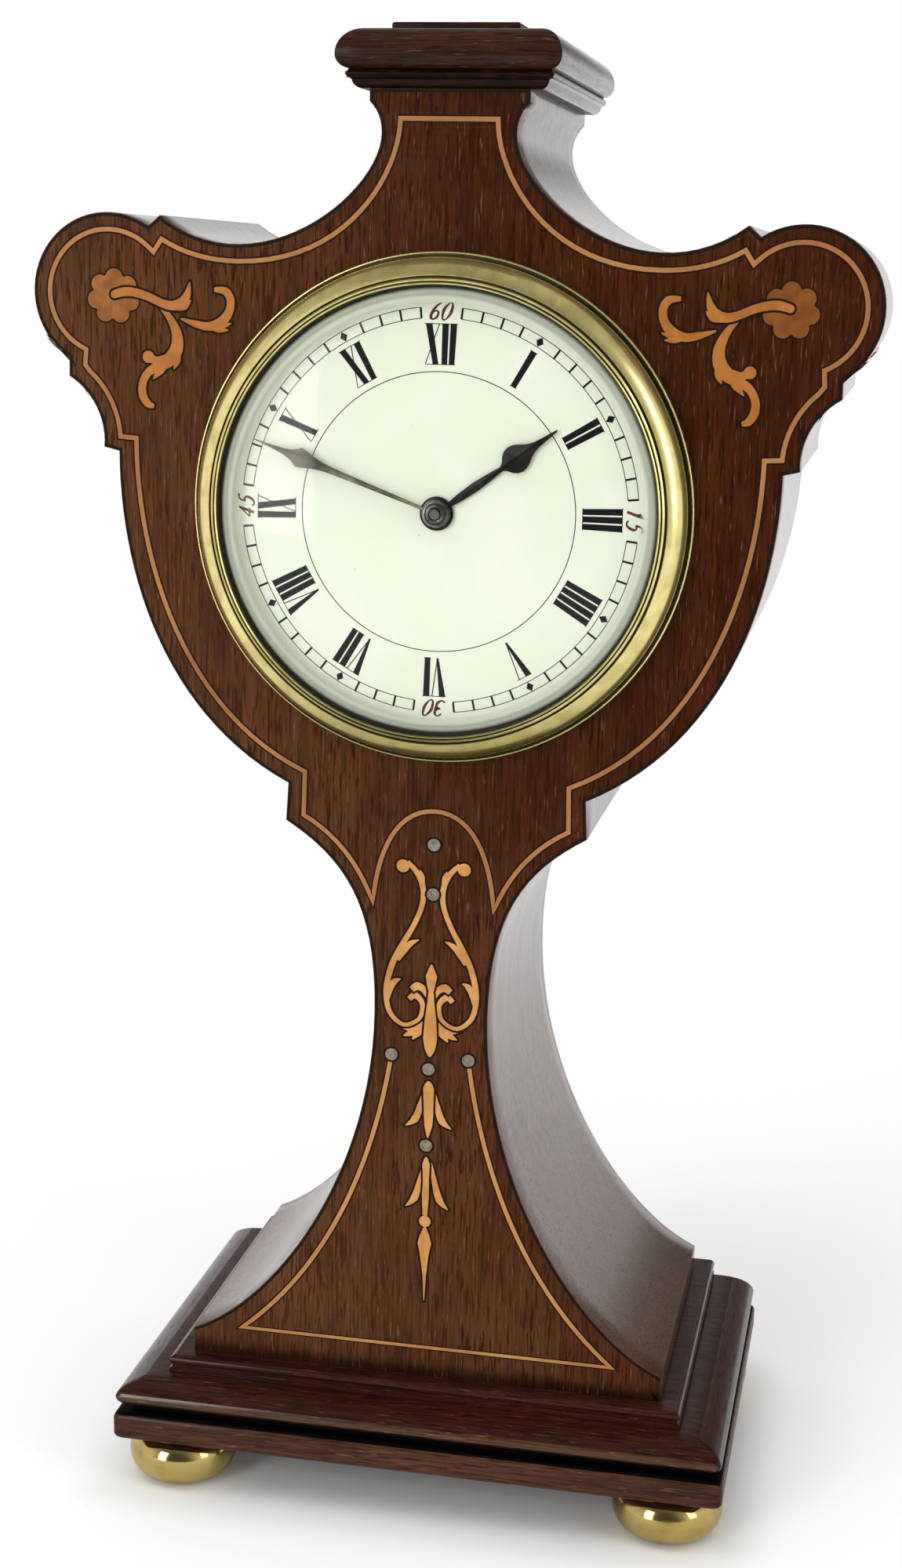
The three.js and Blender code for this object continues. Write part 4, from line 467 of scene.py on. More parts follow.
def case_board(name, front, back, eased_face=None):
    """One board of the case: outline and bore filled and pulled to depth, the arris of one face eased."""
    piece = begin(name)
    for line in (case_edge, bore):
        draw([at(x, z, front) for x, z in line + line[:1]])
    bpy.ops.mesh.select_all(action="SELECT")
    bpy.ops.mesh.remove_doubles(threshold=1e-6)
    bpy.ops.mesh.fill(use_beauty=True)
    bpy.ops.mesh.select_all(action="SELECT")
    pull(0, back - front, 0)
    bpy.ops.mesh.select_all(action="SELECT")
    bpy.ops.mesh.normals_make_consistent(inside=False)
    if eased_face is not None:
        level = at(0, 0, eased_face).y
        bpy.ops.mesh.select_all(action="DESELECT")
        bpy.ops.mesh.edges_select_sharp(sharpness=math.radians(60))
        bpy.ops.object.mode_set(mode="OBJECT")
        spots = [corner.co for corner in piece.data.vertices]
        chosen = []
        for edge in piece.data.edges:
            ends = [spots[corner] for corner in edge.vertices]
            outer = all(math.hypot(end.x, end.z - dial_height) > (bore_radius + 0.4) / 1000 for end in ends)
            chosen.append(edge.select and outer and all(abs(end.y - level) < 1e-6 for end in ends))
        for part in (piece.data.polygons, piece.data.vertices):
            part.foreach_set("select", [False] * len(part))
        piece.data.edges.foreach_set("select", chosen)
        bpy.ops.object.mode_set(mode="EDIT")
        bpy.ops.mesh.select_mode(type="EDGE")
        bpy.ops.mesh.bevel(offset=case_arris / 1000, segments=2, affect="EDGES")
        bpy.ops.mesh.select_mode(type="VERT")
    return close_up(piece, 30)


front_wood = polished_wood("front_mahogany", upright, (0.026, 0.0064, 0.0012), (0.067, 0.018, 0.004),
                           (0.19, 0.1, 0.052), 0.0, 0.03,
                           sunned=((0.048, 0.0176, 0.006), (0.126, 0.049, 0.018)))
side_wood = polished_wood("side_mahogany", upright, (0.045, 0.016, 0.007), (0.115, 0.045, 0.021),
                          (0.14, 0.075, 0.04), 1.0, 0.2)
back_wood = polished_wood("back_mahogany", upright, (0.05, 0.018, 0.01), (0.12, 0.048, 0.027),
                          (0.16, 0.09, 0.06), 0.05, 0.2)
front_depth = depths("case_front")[0]
core_front, core_back = depths("case_core")
back_front, back_depth = depths("case_back")
case_front = case_board("veneered_front", front_depth, core_front, front_depth)
fit(case_front, "mahogany", front_wood, side_wood, instead_of="case_front")
for face in case_front.data.polygons:
    face.material_index = 0 if face.normal.y < -0.9 else 1
case_core = case_board("veneered_sides", core_front, core_back)
fit(case_core, "mahogany", side_wood, instead_of="case_core")
case_back = case_board("back_board", back_front, back_depth, back_depth)
fit(case_back, "mahogany", back_wood, side_wood, instead_of="case_back")
for face in case_back.data.polygons:
    face.material_index = 0 if face.normal.y > 0.9 else 1


# Edge line and stringing
# A thin black line let in along the edge of the front, and boxwood stringing a few millimetres inside it.
# The strings are about a millimetre wide, bent into a scratched groove, with dark glue along their sides.
def eased(points, steps):
    """A smooth line through the points: between two of them it leaves and arrives as their neighbours lie."""
    line = [points[0]]
    last = len(points) - 1
    for i in range(last):
        before, here, there, after = [Vector(points[min(max(i + k, 0), last)]) for k in (-1, 0, 1, 2)]
        bend(line, steps, here + (there - before) / 6, there - (after - here) / 6, there)
    return line


def sideways(line, closed=False):
    """For each point of a line, the direction to its left, longer at a mitred corner."""
    across = []
    count = len(line)
    for i, here in enumerate(line):
        before = line[i - 1] if closed or i else here
        after = line[(i + 1) % count] if closed or i < count - 1 else here
        runs = [(Vector(b) - Vector(a)).normalized() for a, b in ((before, here), (here, after)) if a != b]
        run = sum(runs, Vector((0, 0))).normalized()
        across.append(Vector((-run.y, run.x)) / max(0.45, run.dot(runs[0])))
    return across


def strip(name, line, offsets, finishes, closed, place, thickness):
    """A thin strip bent along a line: a row of squares for each pair of offsets, each row in its finish."""
    across = sideways(line, closed)
    if closed:
        line = line + line[:1]
        across = across + across[:1]
    count = len(line) - 1
    rows = len(offsets) - 1
    bpy.ops.object.select_all(action="DESELECT")
    bpy.ops.mesh.primitive_grid_add(x_subdivisions=count, y_subdivisions=rows, size=1)
    piece = bpy.context.object
    piece.name = piece.data.name = name
    for finish in finishes:
        if finish.name not in piece.data.materials:
            piece.data.materials.append(finish)
    for face in piece.data.polygons:
        row = int((face.center.y + 0.5) * rows)
        face.material_index = piece.data.materials.find(finishes[row].name)
    for corner in piece.data.vertices:
        i = round((corner.co.x + 0.5) * count)
        j = round((corner.co.y + 0.5) * rows)
        spot = Vector(line[i]) + across[i] * offsets[j]
        corner.co = place(spot.x, spot.y)
    bpy.ops.object.mode_set(mode="EDIT")
    bpy.ops.mesh.select_all(action="SELECT")
    bpy.ops.mesh.remove_doubles(threshold=1e-7)
    pull(0, -thickness, 0)
    return close_up(piece, 30)


def boxwood(name, pale, deep, cloud):
    """Yellow-brown inlay wood, streaked and a little uneven in colour."""
    material, start = new_finish(name)
    patch = start.noise(start.spot(), 1 / cloud, 2, 0.5).step(0.3, 0.72)
    line = start.noise(start.grain(upright, 0.25), 1.7, 3)
    start.surface({
        "Base Color": (0.6 * patch + 0.4 * line).tint(pale, deep),
        "Roughness": 0.4 + 0.15 * line,
        "Specular IOR Level": 0.1,
        "Coat Weight": 0.03,
        "Normal": start.bump(line, 0.02, 0.3),
    })
    return material


string_wood = boxwood("boxwood_string", (0.43, 0.195, 0.062), (0.24, 0.09, 0.026), 30)
toe_string_wood = boxwood("pale_boxwood_string", (0.5, 0.25, 0.08), (0.36, 0.155, 0.046), 20)
glue_line, start = new_finish("glue_line")
smoke = start.noise(start.spot(), 0.6, 3)
start.surface({
    "Base Color": smoke.tint((0.004, 0.0025, 0.0015), (0.012, 0.0055, 0.003)),
    "Roughness": 0.5 + 0.2 * smoke,
    "Specular IOR Level": 0.1,
})
edge_rows, edge_height = (0.19, 0.72), 0.02
edge_line = strip("black_edge_line", case_edge[1:-1], edge_rows, [glue_line], False, at, edge_height)
fit(edge_line, "ebonised")

head_line = [(-9.1, 71.6)]
bend(head_line, 20, (-9.1, 62.0), (-18.5, 45.4), (-40.0, 45.4))
bend(head_line, 8, (-48.5, 45.4), (-55.0, 49.2))
head_line += [(-56.6, 46.8)]
head_line += arc(-65.6, 39.1, 11.75, 40.5, 247.0, 30)
head_line += [(-70.4, 25.4)]
head_line += arc(-80.7, 11.0, 17.3, 54.5, 3.0, 10)
head_line += [(-60.2, 11.7)]
bend(head_line, 24, (-60.2, -12.5), (-50.5, -41.5), (-26.1, -51.9))
head_line += [(-26.3, -60.6)]
bend(head_line, 10, (-16.5, -65.8), (-12.1, -77.3))
bend(head_line, 14, (-11.2, -66.5), (-7.5, -58.2), (0.0, -58.2))
head_line += [(-x, z) for x, z in reversed(head_line[:-1])]
toe_line = bend([(-7.8, -108.4)], 28, (-11.3, -133.0), (-21.0, -156.0), (-38.5, -170.6))
string_rows, string_height = (-0.72, -0.43, 0.43, 0.72), 0.05
for name, line, finish, closed in (
    ("head_string", head_line, string_wood, True),
    ("toe_string", mirrored(toe_line), toe_string_wood, False),
):
    string = strip(name, line, string_rows, [glue_line, finish, glue_line], closed, at, string_height)
    fit(string, "mahogany")


# Marquetry
# Flowers and leaves in the ears, and scrolls, husks and a drop down the trunk, fretted from satinwood veneer.
# Each piece is shaded in hot sand and let in with a dark glue line; the dots are discs of pearl shell.
def stroke(points, widths):
    """Outline of a tapering stroke along a smooth line, with a width at each point."""
    steps = 4
    line = eased(points, steps)
    left = []
    right = []
    for i, (spot, side) in enumerate(zip(line, sideways(line))):
        k = min(i // steps, len(widths) - 2)
        half = (widths[k] + (widths[k + 1] - widths[k]) * (i / steps - k)) / 2
        left.append(tuple(Vector(spot) + side * half))
        right.append(tuple(Vector(spot) - side * half))
    return left + right[::-1]


def grown(outline, by):
    """The outline moved outwards all round."""
    area = sum(a[0] * b[1] - b[0] * a[1] for a, b in zip(outline, outline[1:] + outline[:1]))
    by = -by if area > 0 else by
    return [tuple(Vector(spot) + side * by) for spot, side in zip(outline, sideways(outline, True))]


def inlay(name, layers, finishes):
    """Pieces of veneer in layers: a finish number, the width of the glue line and the outlines of the pieces.
    Each layer lies on its own dark glue line in the first finish, over the layers before it."""
    first_bed, layer_rise, veneer, stagger = 0.02, 0.008, 0.004, 0.0002
    piece = begin(name)
    for finish in finishes:
        piece.data.materials.append(finish)
    for count, (number, glue, outlines) in enumerate(layers):
        base = first_bed + layer_rise * count
        beds = [(grown(outline, glue), 0, base, 0) for outline in outlines]
        tops = [(outline, base, base + veneer, number) for outline in outlines]
        for lift, (edge, low, high, slot) in enumerate(beds + tops):
            draw([at(x, z, -low) for x, z in edge], filled=True)
            pull(0, low - high - stagger * lift, 0)
            bpy.ops.mesh.select_linked()
            piece.active_material_index = slot
            bpy.ops.object.material_slot_assign()
    return close_up(piece, 30)


def circle(x, z, radius, steps=16):
    return arc(x, z, radius, 0, 360, steps)


ear_wood = boxwood("shaded_satinwood", (0.43, 0.165, 0.036), (0.27, 0.095, 0.022), 4)
flower_wood = boxwood("scorched_satinwood", (0.31, 0.118, 0.026), (0.17, 0.056, 0.012), 3)
dark_flower_wood = boxwood("dark_scorched_satinwood", (0.23, 0.076, 0.014), (0.13, 0.038, 0.008), 3)
dark_ear_wood = boxwood("dark_satinwood", (0.42, 0.155, 0.029), (0.28, 0.094, 0.018), 4)
trunk_wood = boxwood("satinwood", (0.62, 0.32, 0.095), (0.4, 0.17, 0.045), 5)
pearl, start = new_finish("pearl_shell")
sheen = start.noise(start.spot(), 0.9, 3, 1.0)
start.surface({
    "Base Color": sheen.step(0.35, 0.65).tint((0.12, 0.1, 0.065), (0.22, 0.19, 0.135)),
    "Roughness": 0.25 + 0.15 * sheen,
    "Coat Weight": 0.1,
})

flower = []
petal_count, petal_points, first_petal = 7, 84, math.radians(88)
for i in range(petal_points):
    turn = math.tau * i / petal_points
    petal = abs(math.cos(petal_count / 2 * (turn - first_petal))) ** 0.5
    reach = 3.6 + 1.6 * petal
    flower.append((-64.6 + reach * math.cos(turn), 38.4 + reach * math.sin(turn)))
petals, leaves = 1, 2
fine_glue, broad_glue = 0.3, 0.42
ear_layers = [
    (petals, fine_glue, [flower]),
    (leaves, broad_glue, [
        stroke([(-51.2, 34.5), (-48.2, 33.6), (-45.6, 33.2), (-43.2, 34.1), (-41.7, 36.0), (-41.4, 38.2),
                (-42.4, 39.8), (-44.6, 40.1)], (0.3, 1.3, 1.6, 1.9, 1.6, 1.5, 1.5, 0.8)),
        stroke([(-45.6, 33.4), (-43.6, 32.7), (-41.8, 32.6)], (1.4, 1.2, 0.1)),
        stroke([(-43.6, 33.6), (-42.6, 33.5), (-41.2, 33.9)], (1.2, 1.0, 0.1)),
    ]),
    (leaves, broad_glue, [
        stroke([(-55.4, 36.9), (-53.4, 34.6), (-52.0, 31.6), (-52.1, 28.8), (-53.6, 26.7), (-55.8, 25.4),
                (-57.8, 24.2), (-58.9, 22.0), (-58.8, 19.8), (-57.8, 18.3), (-56.6, 17.9)],
               (0.6, 1.3, 2.0, 2.5, 2.6, 1.9, 1.5, 1.5, 1.6, 1.4, 0.7)),
        stroke([(-52.2, 28.4), (-52.0, 26.6), (-52.6, 25.0)], (1.8, 1.4, 0.1)),
        stroke([(-54.4, 26.2), (-55.4, 24.6), (-56.8, 23.0)], (1.8, 1.5, 0.1)),
        stroke([(-54.4, 26.9), (-56.0, 26.5), (-57.2, 26.9)], (1.6, 1.5, 1.6)),
        circle(-57.7, 27.2, 1.15),
    ]),
    (leaves, broad_glue, [
        stroke([(-64.4, 38.8), (-62.2, 39.3), (-59.9, 39.1), (-57.5, 38.4), (-55.2, 37.4), (-53.2, 36.9),
                (-51.2, 37.3), (-50.0, 38.9), (-49.4, 41.4)], (1.5, 1.7, 1.6, 1.5, 1.5, 1.7, 2.1, 1.5, 0.1)),
        stroke([(-51.8, 36.7), (-50.4, 36.9), (-49.2, 38.0)], (1.4, 1.4, 0.1)),
        circle(-64.4, 38.75, 0.75, 12),
    ]),
]
left_ear = inlay("left_ear_marquetry", ear_layers, [glue_line, flower_wood, ear_wood])
fit(left_ear, "mahogany")
across_by, up_by = -0.87, 0.33
right_layers = []
for number, glue, outlines in ear_layers:
    outlines = [[(-x + across_by, z + up_by) for x, z in outline] for outline in outlines]
    right_layers.append((number, glue, outlines))
right_ear = inlay("right_ear_marquetry", right_layers, [glue_line, dark_flower_wood, dark_ear_wood])
fit(right_ear, "mahogany")


def both_sides(outlines):
    """Outlines together with their mirror images."""
    return outlines + [[(-x, z) for x, z in outline] for outline in outlines]


satin, shell = 1, 2
dots = ((0.0, -64.9), (0.0, -74.9), (-0.2, -110.9), (-0.4, -127.0), (-7.8, -108.4), (7.8, -108.4))
trunk_layers = [
    (satin, broad_glue, both_sides([
        stroke([(-1.4, -101.4), (-3.2, -102.6), (-6.2, -102.4)], (0.8, 2.0, 0.2)),
        stroke([(-2.4, -102.4), (-3.6, -103.4), (-5.4, -104.3)], (1.2, 1.6, 0.2)),
        stroke([(-1.6, -102.4), (-2.6, -103.6), (-3.6, -104.9)], (1.2, 1.4, 0.2)),
        stroke([(-0.9, -115.2), (-1.7, -118.6), (-2.8, -121.6), (-4.7, -123.1)], (0.4, 1.2, 1.5, 0.1)),
        stroke([(-0.7, -130.5), (-1.5, -134.6), (-2.6, -138.4), (-4.4, -140.3)], (0.3, 1.1, 1.5, 0.1)),
    ])),
    (satin, broad_glue, both_sides([
        stroke([(-5.2, -68.6), (-3.1, -70.9), (-2.0, -73.9), (-2.2, -77.4), (-3.8, -81.5), (-6.0, -85.5),
                (-8.0, -89.8), (-9.1, -95.0), (-8.3, -99.6), (-5.4, -102.0), (-2.3, -100.5), (-1.7, -97.4),
                (-3.2, -95.7), (-4.4, -96.6)],
               (0.8, 1.1, 1.1, 1.0, 1.0, 1.1, 1.2, 1.1, 1.0, 0.8, 0.8, 1.0, 1.3, 1.0)),
        circle(-6.1, -69.5, 1.3),
        stroke([(-2.7, -70.1), (-2.2, -71.5), (-2.2, -73.6)], (0.1, 0.9, 1.0)),
        stroke([(-2.6, -84.3), (-4.2, -85.1), (-5.7, -86.7), (-6.9, -88.7)], (0.1, 1.1, 1.4, 0.9)),
        stroke([(-6.2, -92.6), (-7.4, -93.2), (-8.4, -94.8), (-8.9, -97.0)], (0.1, 1.2, 1.4, 0.9)),
    ])),
    (satin, broad_glue, both_sides([
        stroke([(-0.5, -95.9), (-1.5, -94.4), (-2.8, -93.8), (-3.9, -94.6)], (1.0, 1.3, 1.6, 1.2)),
    ])),
    (satin, broad_glue, [
        stroke([(0, -94.4), (0, -97.5), (0, -101.0), (0, -104.5), (0, -106.8), (0, -108.3)],
               (0.9, 1.5, 2.4, 2.8, 2.0, 0.3)),
        stroke([(0, -89.1), (0, -91.6), (0, -94.6)], (0.1, 2.3, 1.1)),
        stroke([(-0.1, -113.4), (-0.1, -115.0), (0, -120.2), (0, -122.8), (-0.1, -125.4)],
               (0.4, 2.2, 1.9, 1.6, 0.1)),
        stroke([(-0.3, -129.4), (-0.3, -131.0), (-0.25, -134.4), (-0.3, -137.7), (-0.3, -142.0)],
               (0.3, 1.5, 1.2, 1.4, 0.9)),
        stroke([(-0.3, -144.4), (-0.3, -146.3), (-0.3, -148.0), (-0.3, -150.5), (-0.2, -155.0),
                (-0.2, -160.4)], (0.3, 2.0, 2.8, 1.8, 0.7, 0.1)),
        circle(-0.3, -143.2, 1.2),
    ]),
    (shell, broad_glue, [circle(x, z, 1.25, 20) for x, z in dots]),
]
trunk = inlay("trunk_marquetry", trunk_layers, [glue_line, trunk_wood, pearl])
fit(trunk, "mahogany")


# Cap
# A small ovolo and bead round the neck, a thumb-moulded slab and a thin raised plate, all in dark mahogany.
# They are glued one on another, and the moulding is mitred at the front corners.
# Painted shade: the moulding under the overhang of the cap slab is painted much darker than the slab,
# standing in for its shadow there.
shade_darkened_mould_wood = polished_wood("shade_darkened_mahogany", end_to_end, (0.005, 0.0015, 0.0009), (0.022, 0.006, 0.0035),
                           (0.08, 0.03, 0.02), 0.2, 0.03)
cap_wood = polished_wood("cap_mahogany", end_to_end, (0.014, 0.0042, 0.002), (0.05, 0.0175, 0.0085),
                         (0.15, 0.085, 0.055), 0.35, 0.03)
cap_end_wood = polished_wood("cap_end_mahogany", front_to_back, (0.03, 0.01, 0.006), (0.07, 0.03, 0.018),
                             (0.15, 0.09, 0.06), 1.0, 0.4)
neck_mould = [(2.7, 0)] + rounded(2.7, 1.68, 1.68, -80, -5, 7) + [(0.6, 1.75), (0.2, 1.8)]
neck_mould += rounded(0.45, 2.5, 0.45, -65, 75, 6) + [(0.6, 3.36)]
cap_mould = moulded_slab("cap_moulding_run", "cap_moulding", neck_mould)
fit_moulding(cap_mould, "cap_moulding", shade_darkened_mould_wood, plinth_end_wood, shade_darkened_mould_wood)
nose_rise = 2.4
slab_nose = rounded(nose_rise, nose_rise, nose_rise, -90, 0, 9)
slab_nose += rounded(4.9, nose_rise, 4.9, 0, 90, 14)[1:]
cap_slab = moulded_slab("thumb_moulded_cap", "cap_slab", slab_nose)
fit_moulding(cap_slab, "cap_slab", cap_wood, cap_end_wood, cap_wood)
cap_plate = moulded_slab("raised_cap_plate", "cap_plate", [(0, 0)] + rounded(0.5, 0.9, 0.5, 0, 90, 6))
fit(cap_plate, "dark_mahogany", cap_wood, instead_of="cap_plate")


# Movement in its drum
# A bought-in eight-day movement in a spun brass drum, wound and set from behind.
# The solids of the train keep their shape and get a grained finish under thin lacquer; the screws are blued.
def grained_metal(name, bright, dull, along, roughness):
    """Metal finished with fine straight graining along one axis under old lacquer."""
    material, start = new_finish(name)
    lines = start.noise(start.grain(along, 0.04), 5.0, 3)
    cloud = start.noise(start.spot(), 0.16, 3, 0.5).step(0.35, 0.75)
    start.surface({
        "Base Color": cloud.tint(bright, dull),
        "Metallic": 1.0,
        "Roughness": roughness + 0.2 * lines + 0.1 * cloud,
        "Normal": start.bump(lines, 0.01, 0.4),
    })
    return material


plate_brass = grained_metal("grained_brass", (0.66, 0.5, 0.21), (0.5, 0.35, 0.13), upright, 0.2)
wheel_brass = grained_metal("wheel_brass", (0.7, 0.53, 0.22), (0.55, 0.39, 0.15), end_to_end, 0.18)
bright_steel = grained_metal("bright_steel", (0.5, 0.5, 0.5), (0.36, 0.35, 0.34), front_to_back, 0.16)
spring_steel = grained_metal("blue_spring_steel", (0.06, 0.08, 0.17), (0.04, 0.05, 0.09), front_to_back, 0.22)
nodes = frame["nodes"]
for finish, names in (
    (plate_brass, "drum front_plate back_plate platform escape_bridge balance_cock barrel barrel_cover"),
    (wheel_brass, "pillar_1 pillar_2 pillar_3 pillar_4 intermediate_wheel centre_wheel third_wheel "
                  "fourth_wheel escape_wheel minute_wheel hour_wheel balance set_knob"),
    (bright_steel, "click click_spring ratchet_wheel winding_arbor winding_key centre_arbor cannon_pinion "
                   "pallet_lever regulator_index hinge_pin"),
    (spring_steel, "mainspring hairspring"),
):
    for name in names.split():
        nodes[name].data.materials.clear()
        nodes[name].data.materials.append(finish)

inward = Vector((0, 1, 0))
back_of_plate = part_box("back_plate")[1].y
screw_steel = polished_metal("blued_screw", (0.035, 0.05, 0.16), (0.05, 0.05, 0.09), 0.15, 2, 0.5)
screw_profile = [(0, 0), (1.55, 0), (1.55, 0.45), (1.3, 0.7), (0.35, 0.8), (0.35, 0.45), (0, 0.45)]
screw_spots = {}
for number in "1234":
    low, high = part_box("pillar_" + number)
    screw_spots[number] = Vector(((low.x + high.x) / 2, back_of_plate, (low.z + high.z) / 2))
for screw in turned_alike("pillar_screw_", screw_profile, screw_spots, inward, 32).values():
    fit(screw, "blued_steel", screw_steel)


# Back ring and door
# A spun brass ring let into the back of the drum, with a hinged brass door and a small turned knob.
# The door has a raised border; two knuckles on the ring and one on the door turn on a steel pin.
door_brass = polished_metal("door_brass", (0.64, 0.48, 0.2), (0.57, 0.42, 0.165), 0.16, 26, 1.1)
ring_inner, ring_outer = 37.6, 44
ring_front, ring_seat, ring_back = 55, 68, 69.2
ring_profile = [(ring_inner, ring_front), (38.5, ring_front), (38.5, ring_seat), (ring_outer, ring_seat),
                (ring_outer, 68.8), (43.6, ring_back), (42.4, ring_back), (42.2, 69.05), (38.6, 69.05),
                (38.3, ring_back), (37.9, ring_back), (ring_inner, 68.9), (ring_inner, ring_front)]
hinge_side = -46
hinge_line = at(hinge_side, 0, 70.1)
pin_radius, knuckle_radius, knuckle_ease = 0.8, 1.5, 0.15


def joined(name, *pieces):
    """Several pieces made one."""
    bpy.ops.object.select_all(action="DESELECT")
    for piece in pieces:
        piece.select_set(True)
    bpy.context.view_layer.objects.active = pieces[0]
    bpy.ops.object.join()
    pieces[0].name = pieces[0].data.name = name
    return pieces[0]


def knuckle(name, low, high):
    """A hinge knuckle rolled round the pin."""
    shoulder = knuckle_radius - knuckle_ease
    profile = [(pin_radius, low), (shoulder, low), (knuckle_radius, low + knuckle_ease),
               (knuckle_radius, high - knuckle_ease), (shoulder, high), (pin_radius, high), (pin_radius, low)]
    return turned(name, profile, hinge_line, up, 28)


def rectangle(left, low, right, high):
    return [(left, low), (right, low), (right, high), (left, high)]


def leaf(name, inner, front, back, low, high):
    """A hinge leaf from the pin to the ring or the door."""
    piece = begin(name)
    outline = rectangle(hinge_side + pin_radius, low, inner, high)
    draw([at(x, z, front) for x, z in outline], filled=True)
    pull(0, back - front, 0)
    return close_up(piece)


ring_parts = [turned("ring_disc", ring_profile, at(0, 0), inward, 96)]
for name, low, high in (("low", -9.3, -3.3), ("high", 3.3, 9.3)):
    ring_parts.append(knuckle(name + "_knuckle", low, high))
    ring_parts.append(leaf(name + "_leaf", -42, ring_seat, ring_back, low, high))
back_ring = joined("door_ring", *ring_parts)
fit(back_ring, "polished_brass", door_brass, instead_of="back_ring")
door_radius, door_front, door_panel, door_border = 43, 69.5, 70.4, 70.7
door_profile = [(0, door_front), (42.7, door_front), (door_radius, 69.75), (door_radius, 70.35),
                (42.6, door_border), (39.6, door_border), (39.2, 70.45), (38.8, door_panel), (0, door_panel)]
door_disc = turned("door_disc", door_profile, at(0, 0), inward, 96)
door_leaf = leaf("door_leaf", -41, door_front, door_border, -3, 3)
door = joined("round_back_door", door_disc, knuckle("door_knuckle", -3, 3), door_leaf)
fit(door, "polished_brass", door_brass, body="door_work", instead_of="back_door")
knob_profile = [(0, 70.45), (1.5, 70.45), (1.3, 70.9), (1.6, 71.2), (2.4, 71.45), (2.6, 71.75), (2.4, 72.1),
                (1.7, 72.35), (0, 72.4)]
door_knob = turned("turned_door_knob", knob_profile, at(37, 0), inward, 40)
fit(door_knob, "polished_brass", door_brass, body="door_work", instead_of="door_knob")


# Dial
# A slightly domed copper disc under fired white enamel with a green tinge, held against the drum flange.
# The numerals, minute track and lozenges are painted in black and fired in; the quarter minutes are in red.
dial_back = depths("dial")[1]
dial_rim = depths("sight_ring")[1]
dial_dome = 0.5
dome_radius = 41.2
dial_radius = 43
dial_hole = 3.1


def dial_face(radius):
    """Depth of the enamel at a radius."""
    return dial_rim - dial_dome * (1 - min(1.0, (radius / dome_radius) ** 2))


def on_dial(x, z):
    return at(x, z, dial_face(math.hypot(x, z)))


dial_profile = [(dial_hole, dial_back), (dial_radius, dial_back), (dial_radius, dial_rim)]
dome_steps = (dome_radius, 38, 35, 31, 27, 22, 17, 12, 7, 3.5, dial_hole)
dial_profile += [(radius, dial_face(radius)) for radius in dome_steps]
dial_profile += [(dial_hole, dial_back)]
dial = turned("enamel_dial", dial_profile, at(0, 0), inward, 128)
enamel, start = new_finish("fired_enamel")
clouds = start.noise(start.spot(), 0.05, 4, 0.6)
specks = start.noise(start.spot(), 0.9, 2).step(0.74, 0.8)
glaze = clouds.step(0.3, 0.75).tint((0.83, 0.875, 0.72), (0.875, 0.905, 0.795))
start.surface({
    "Base Color": (specks * 0.35).tint(glaze, (0.5, 0.47, 0.36)),
    "Roughness": 0.14 + 0.1 * clouds,
    "Specular IOR Level": 0.2,
    "Normal": start.bump(clouds, 0.1, 0.15),
})
fit(dial, "enamel", enamel, instead_of="dial")


def dial_paint(name, grit, span, fresh, worn):
    """Paint fired into the enamel, worn paler in specks."""
    material, start = new_finish(name)
    wear = start.noise(start.spot(), grit, 3)
    start.surface({
        "Base Color": wear.step(*span).tint(fresh, worn),
        "Roughness": 0.35 + 0.2 * wear,
        "Specular IOR Level": 0.1,
    })
    return material


black_paint = dial_paint("black_dial_paint", 1.3, (0.55, 0.9), (0.006, 0.006, 0.008), (0.03, 0.03, 0.032))
red_paint = dial_paint("red_dial_paint", 1.6, (0.4, 0.8), (0.09, 0.021, 0.015), (0.24, 0.075, 0.055))
paint_height = 0.03


def paint(name, shapes, finish):
    """Painted figures: outlines laid on the enamel and given the height of the paint."""
    piece = begin(name)
    piece.data.materials.append(finish)
    for outline in shapes:
        draw([on_dial(x, z) for x, z in outline], filled=True)
        pull(0, -paint_height, 0)
    return close_up(piece, 30)


def turned_about(outline, clock_angle):
    """An outline drawn upright above the dial centre, turned round it to a place on the clock face."""
    across = math.cos(math.radians(clock_angle))
    along = math.sin(math.radians(clock_angle))
    return [(x * across + z * along, z * across - x * along) for x, z in outline]


numeral_foot = 27.5
numeral_head = 34.9
foot_taper = 0.88
stem_width = 1.24
hair_width = 0.2
line_half = 0.07
letter_width = {"I": 1.55, "V": 3.0, "X": 3.2}
letter_strokes = {
    "I": [(0, 0, stem_width, stem_width)],
    "V": [(-0.85, 0.1, stem_width, 0.45), (1.15, 0.1, hair_width, hair_width)],
    "X": [(-0.75, 0.5, stem_width, stem_width), (1.2, -1.7, hair_width, hair_width)],
}


def bar(head, foot, head_width, foot_width):
    """A stroke of a numeral from its head to its foot, with square ends."""
    head_side, foot_side = head_width / 2, foot_width / 2
    return [(head - head_side, numeral_head), (head + head_side, numeral_head),
            (foot_taper * (foot + foot_side), numeral_foot), (foot_taper * (foot - foot_side), numeral_foot)]


def hairline(first, last, radius):
    """A fine line that closes the ends of the strokes."""
    return rectangle(first, radius - line_half, last, radius + line_half)


def numeral(letters):
    """Outlines of a Roman numeral that stands above the dial centre with its foot towards it."""
    whole = sum(letter_width[letter] for letter in letters)
    cursor = -whole / 2
    strokes = [hairline(-whole / 2, whole / 2, numeral_head)]
    squared = sum(letter_width[letter] for letter in letters if letter != "V")
    if squared:
        strokes.append(hairline(foot_taper * (whole / 2 - squared), foot_taper * whole / 2, numeral_foot))
    for letter in letters:
        middle = cursor + letter_width[letter] / 2
        for head, foot, head_width, foot_width in letter_strokes[letter]:
            strokes.append(bar(middle + head, middle + foot, head_width, foot_width))
        cursor += letter_width[letter]
    return strokes


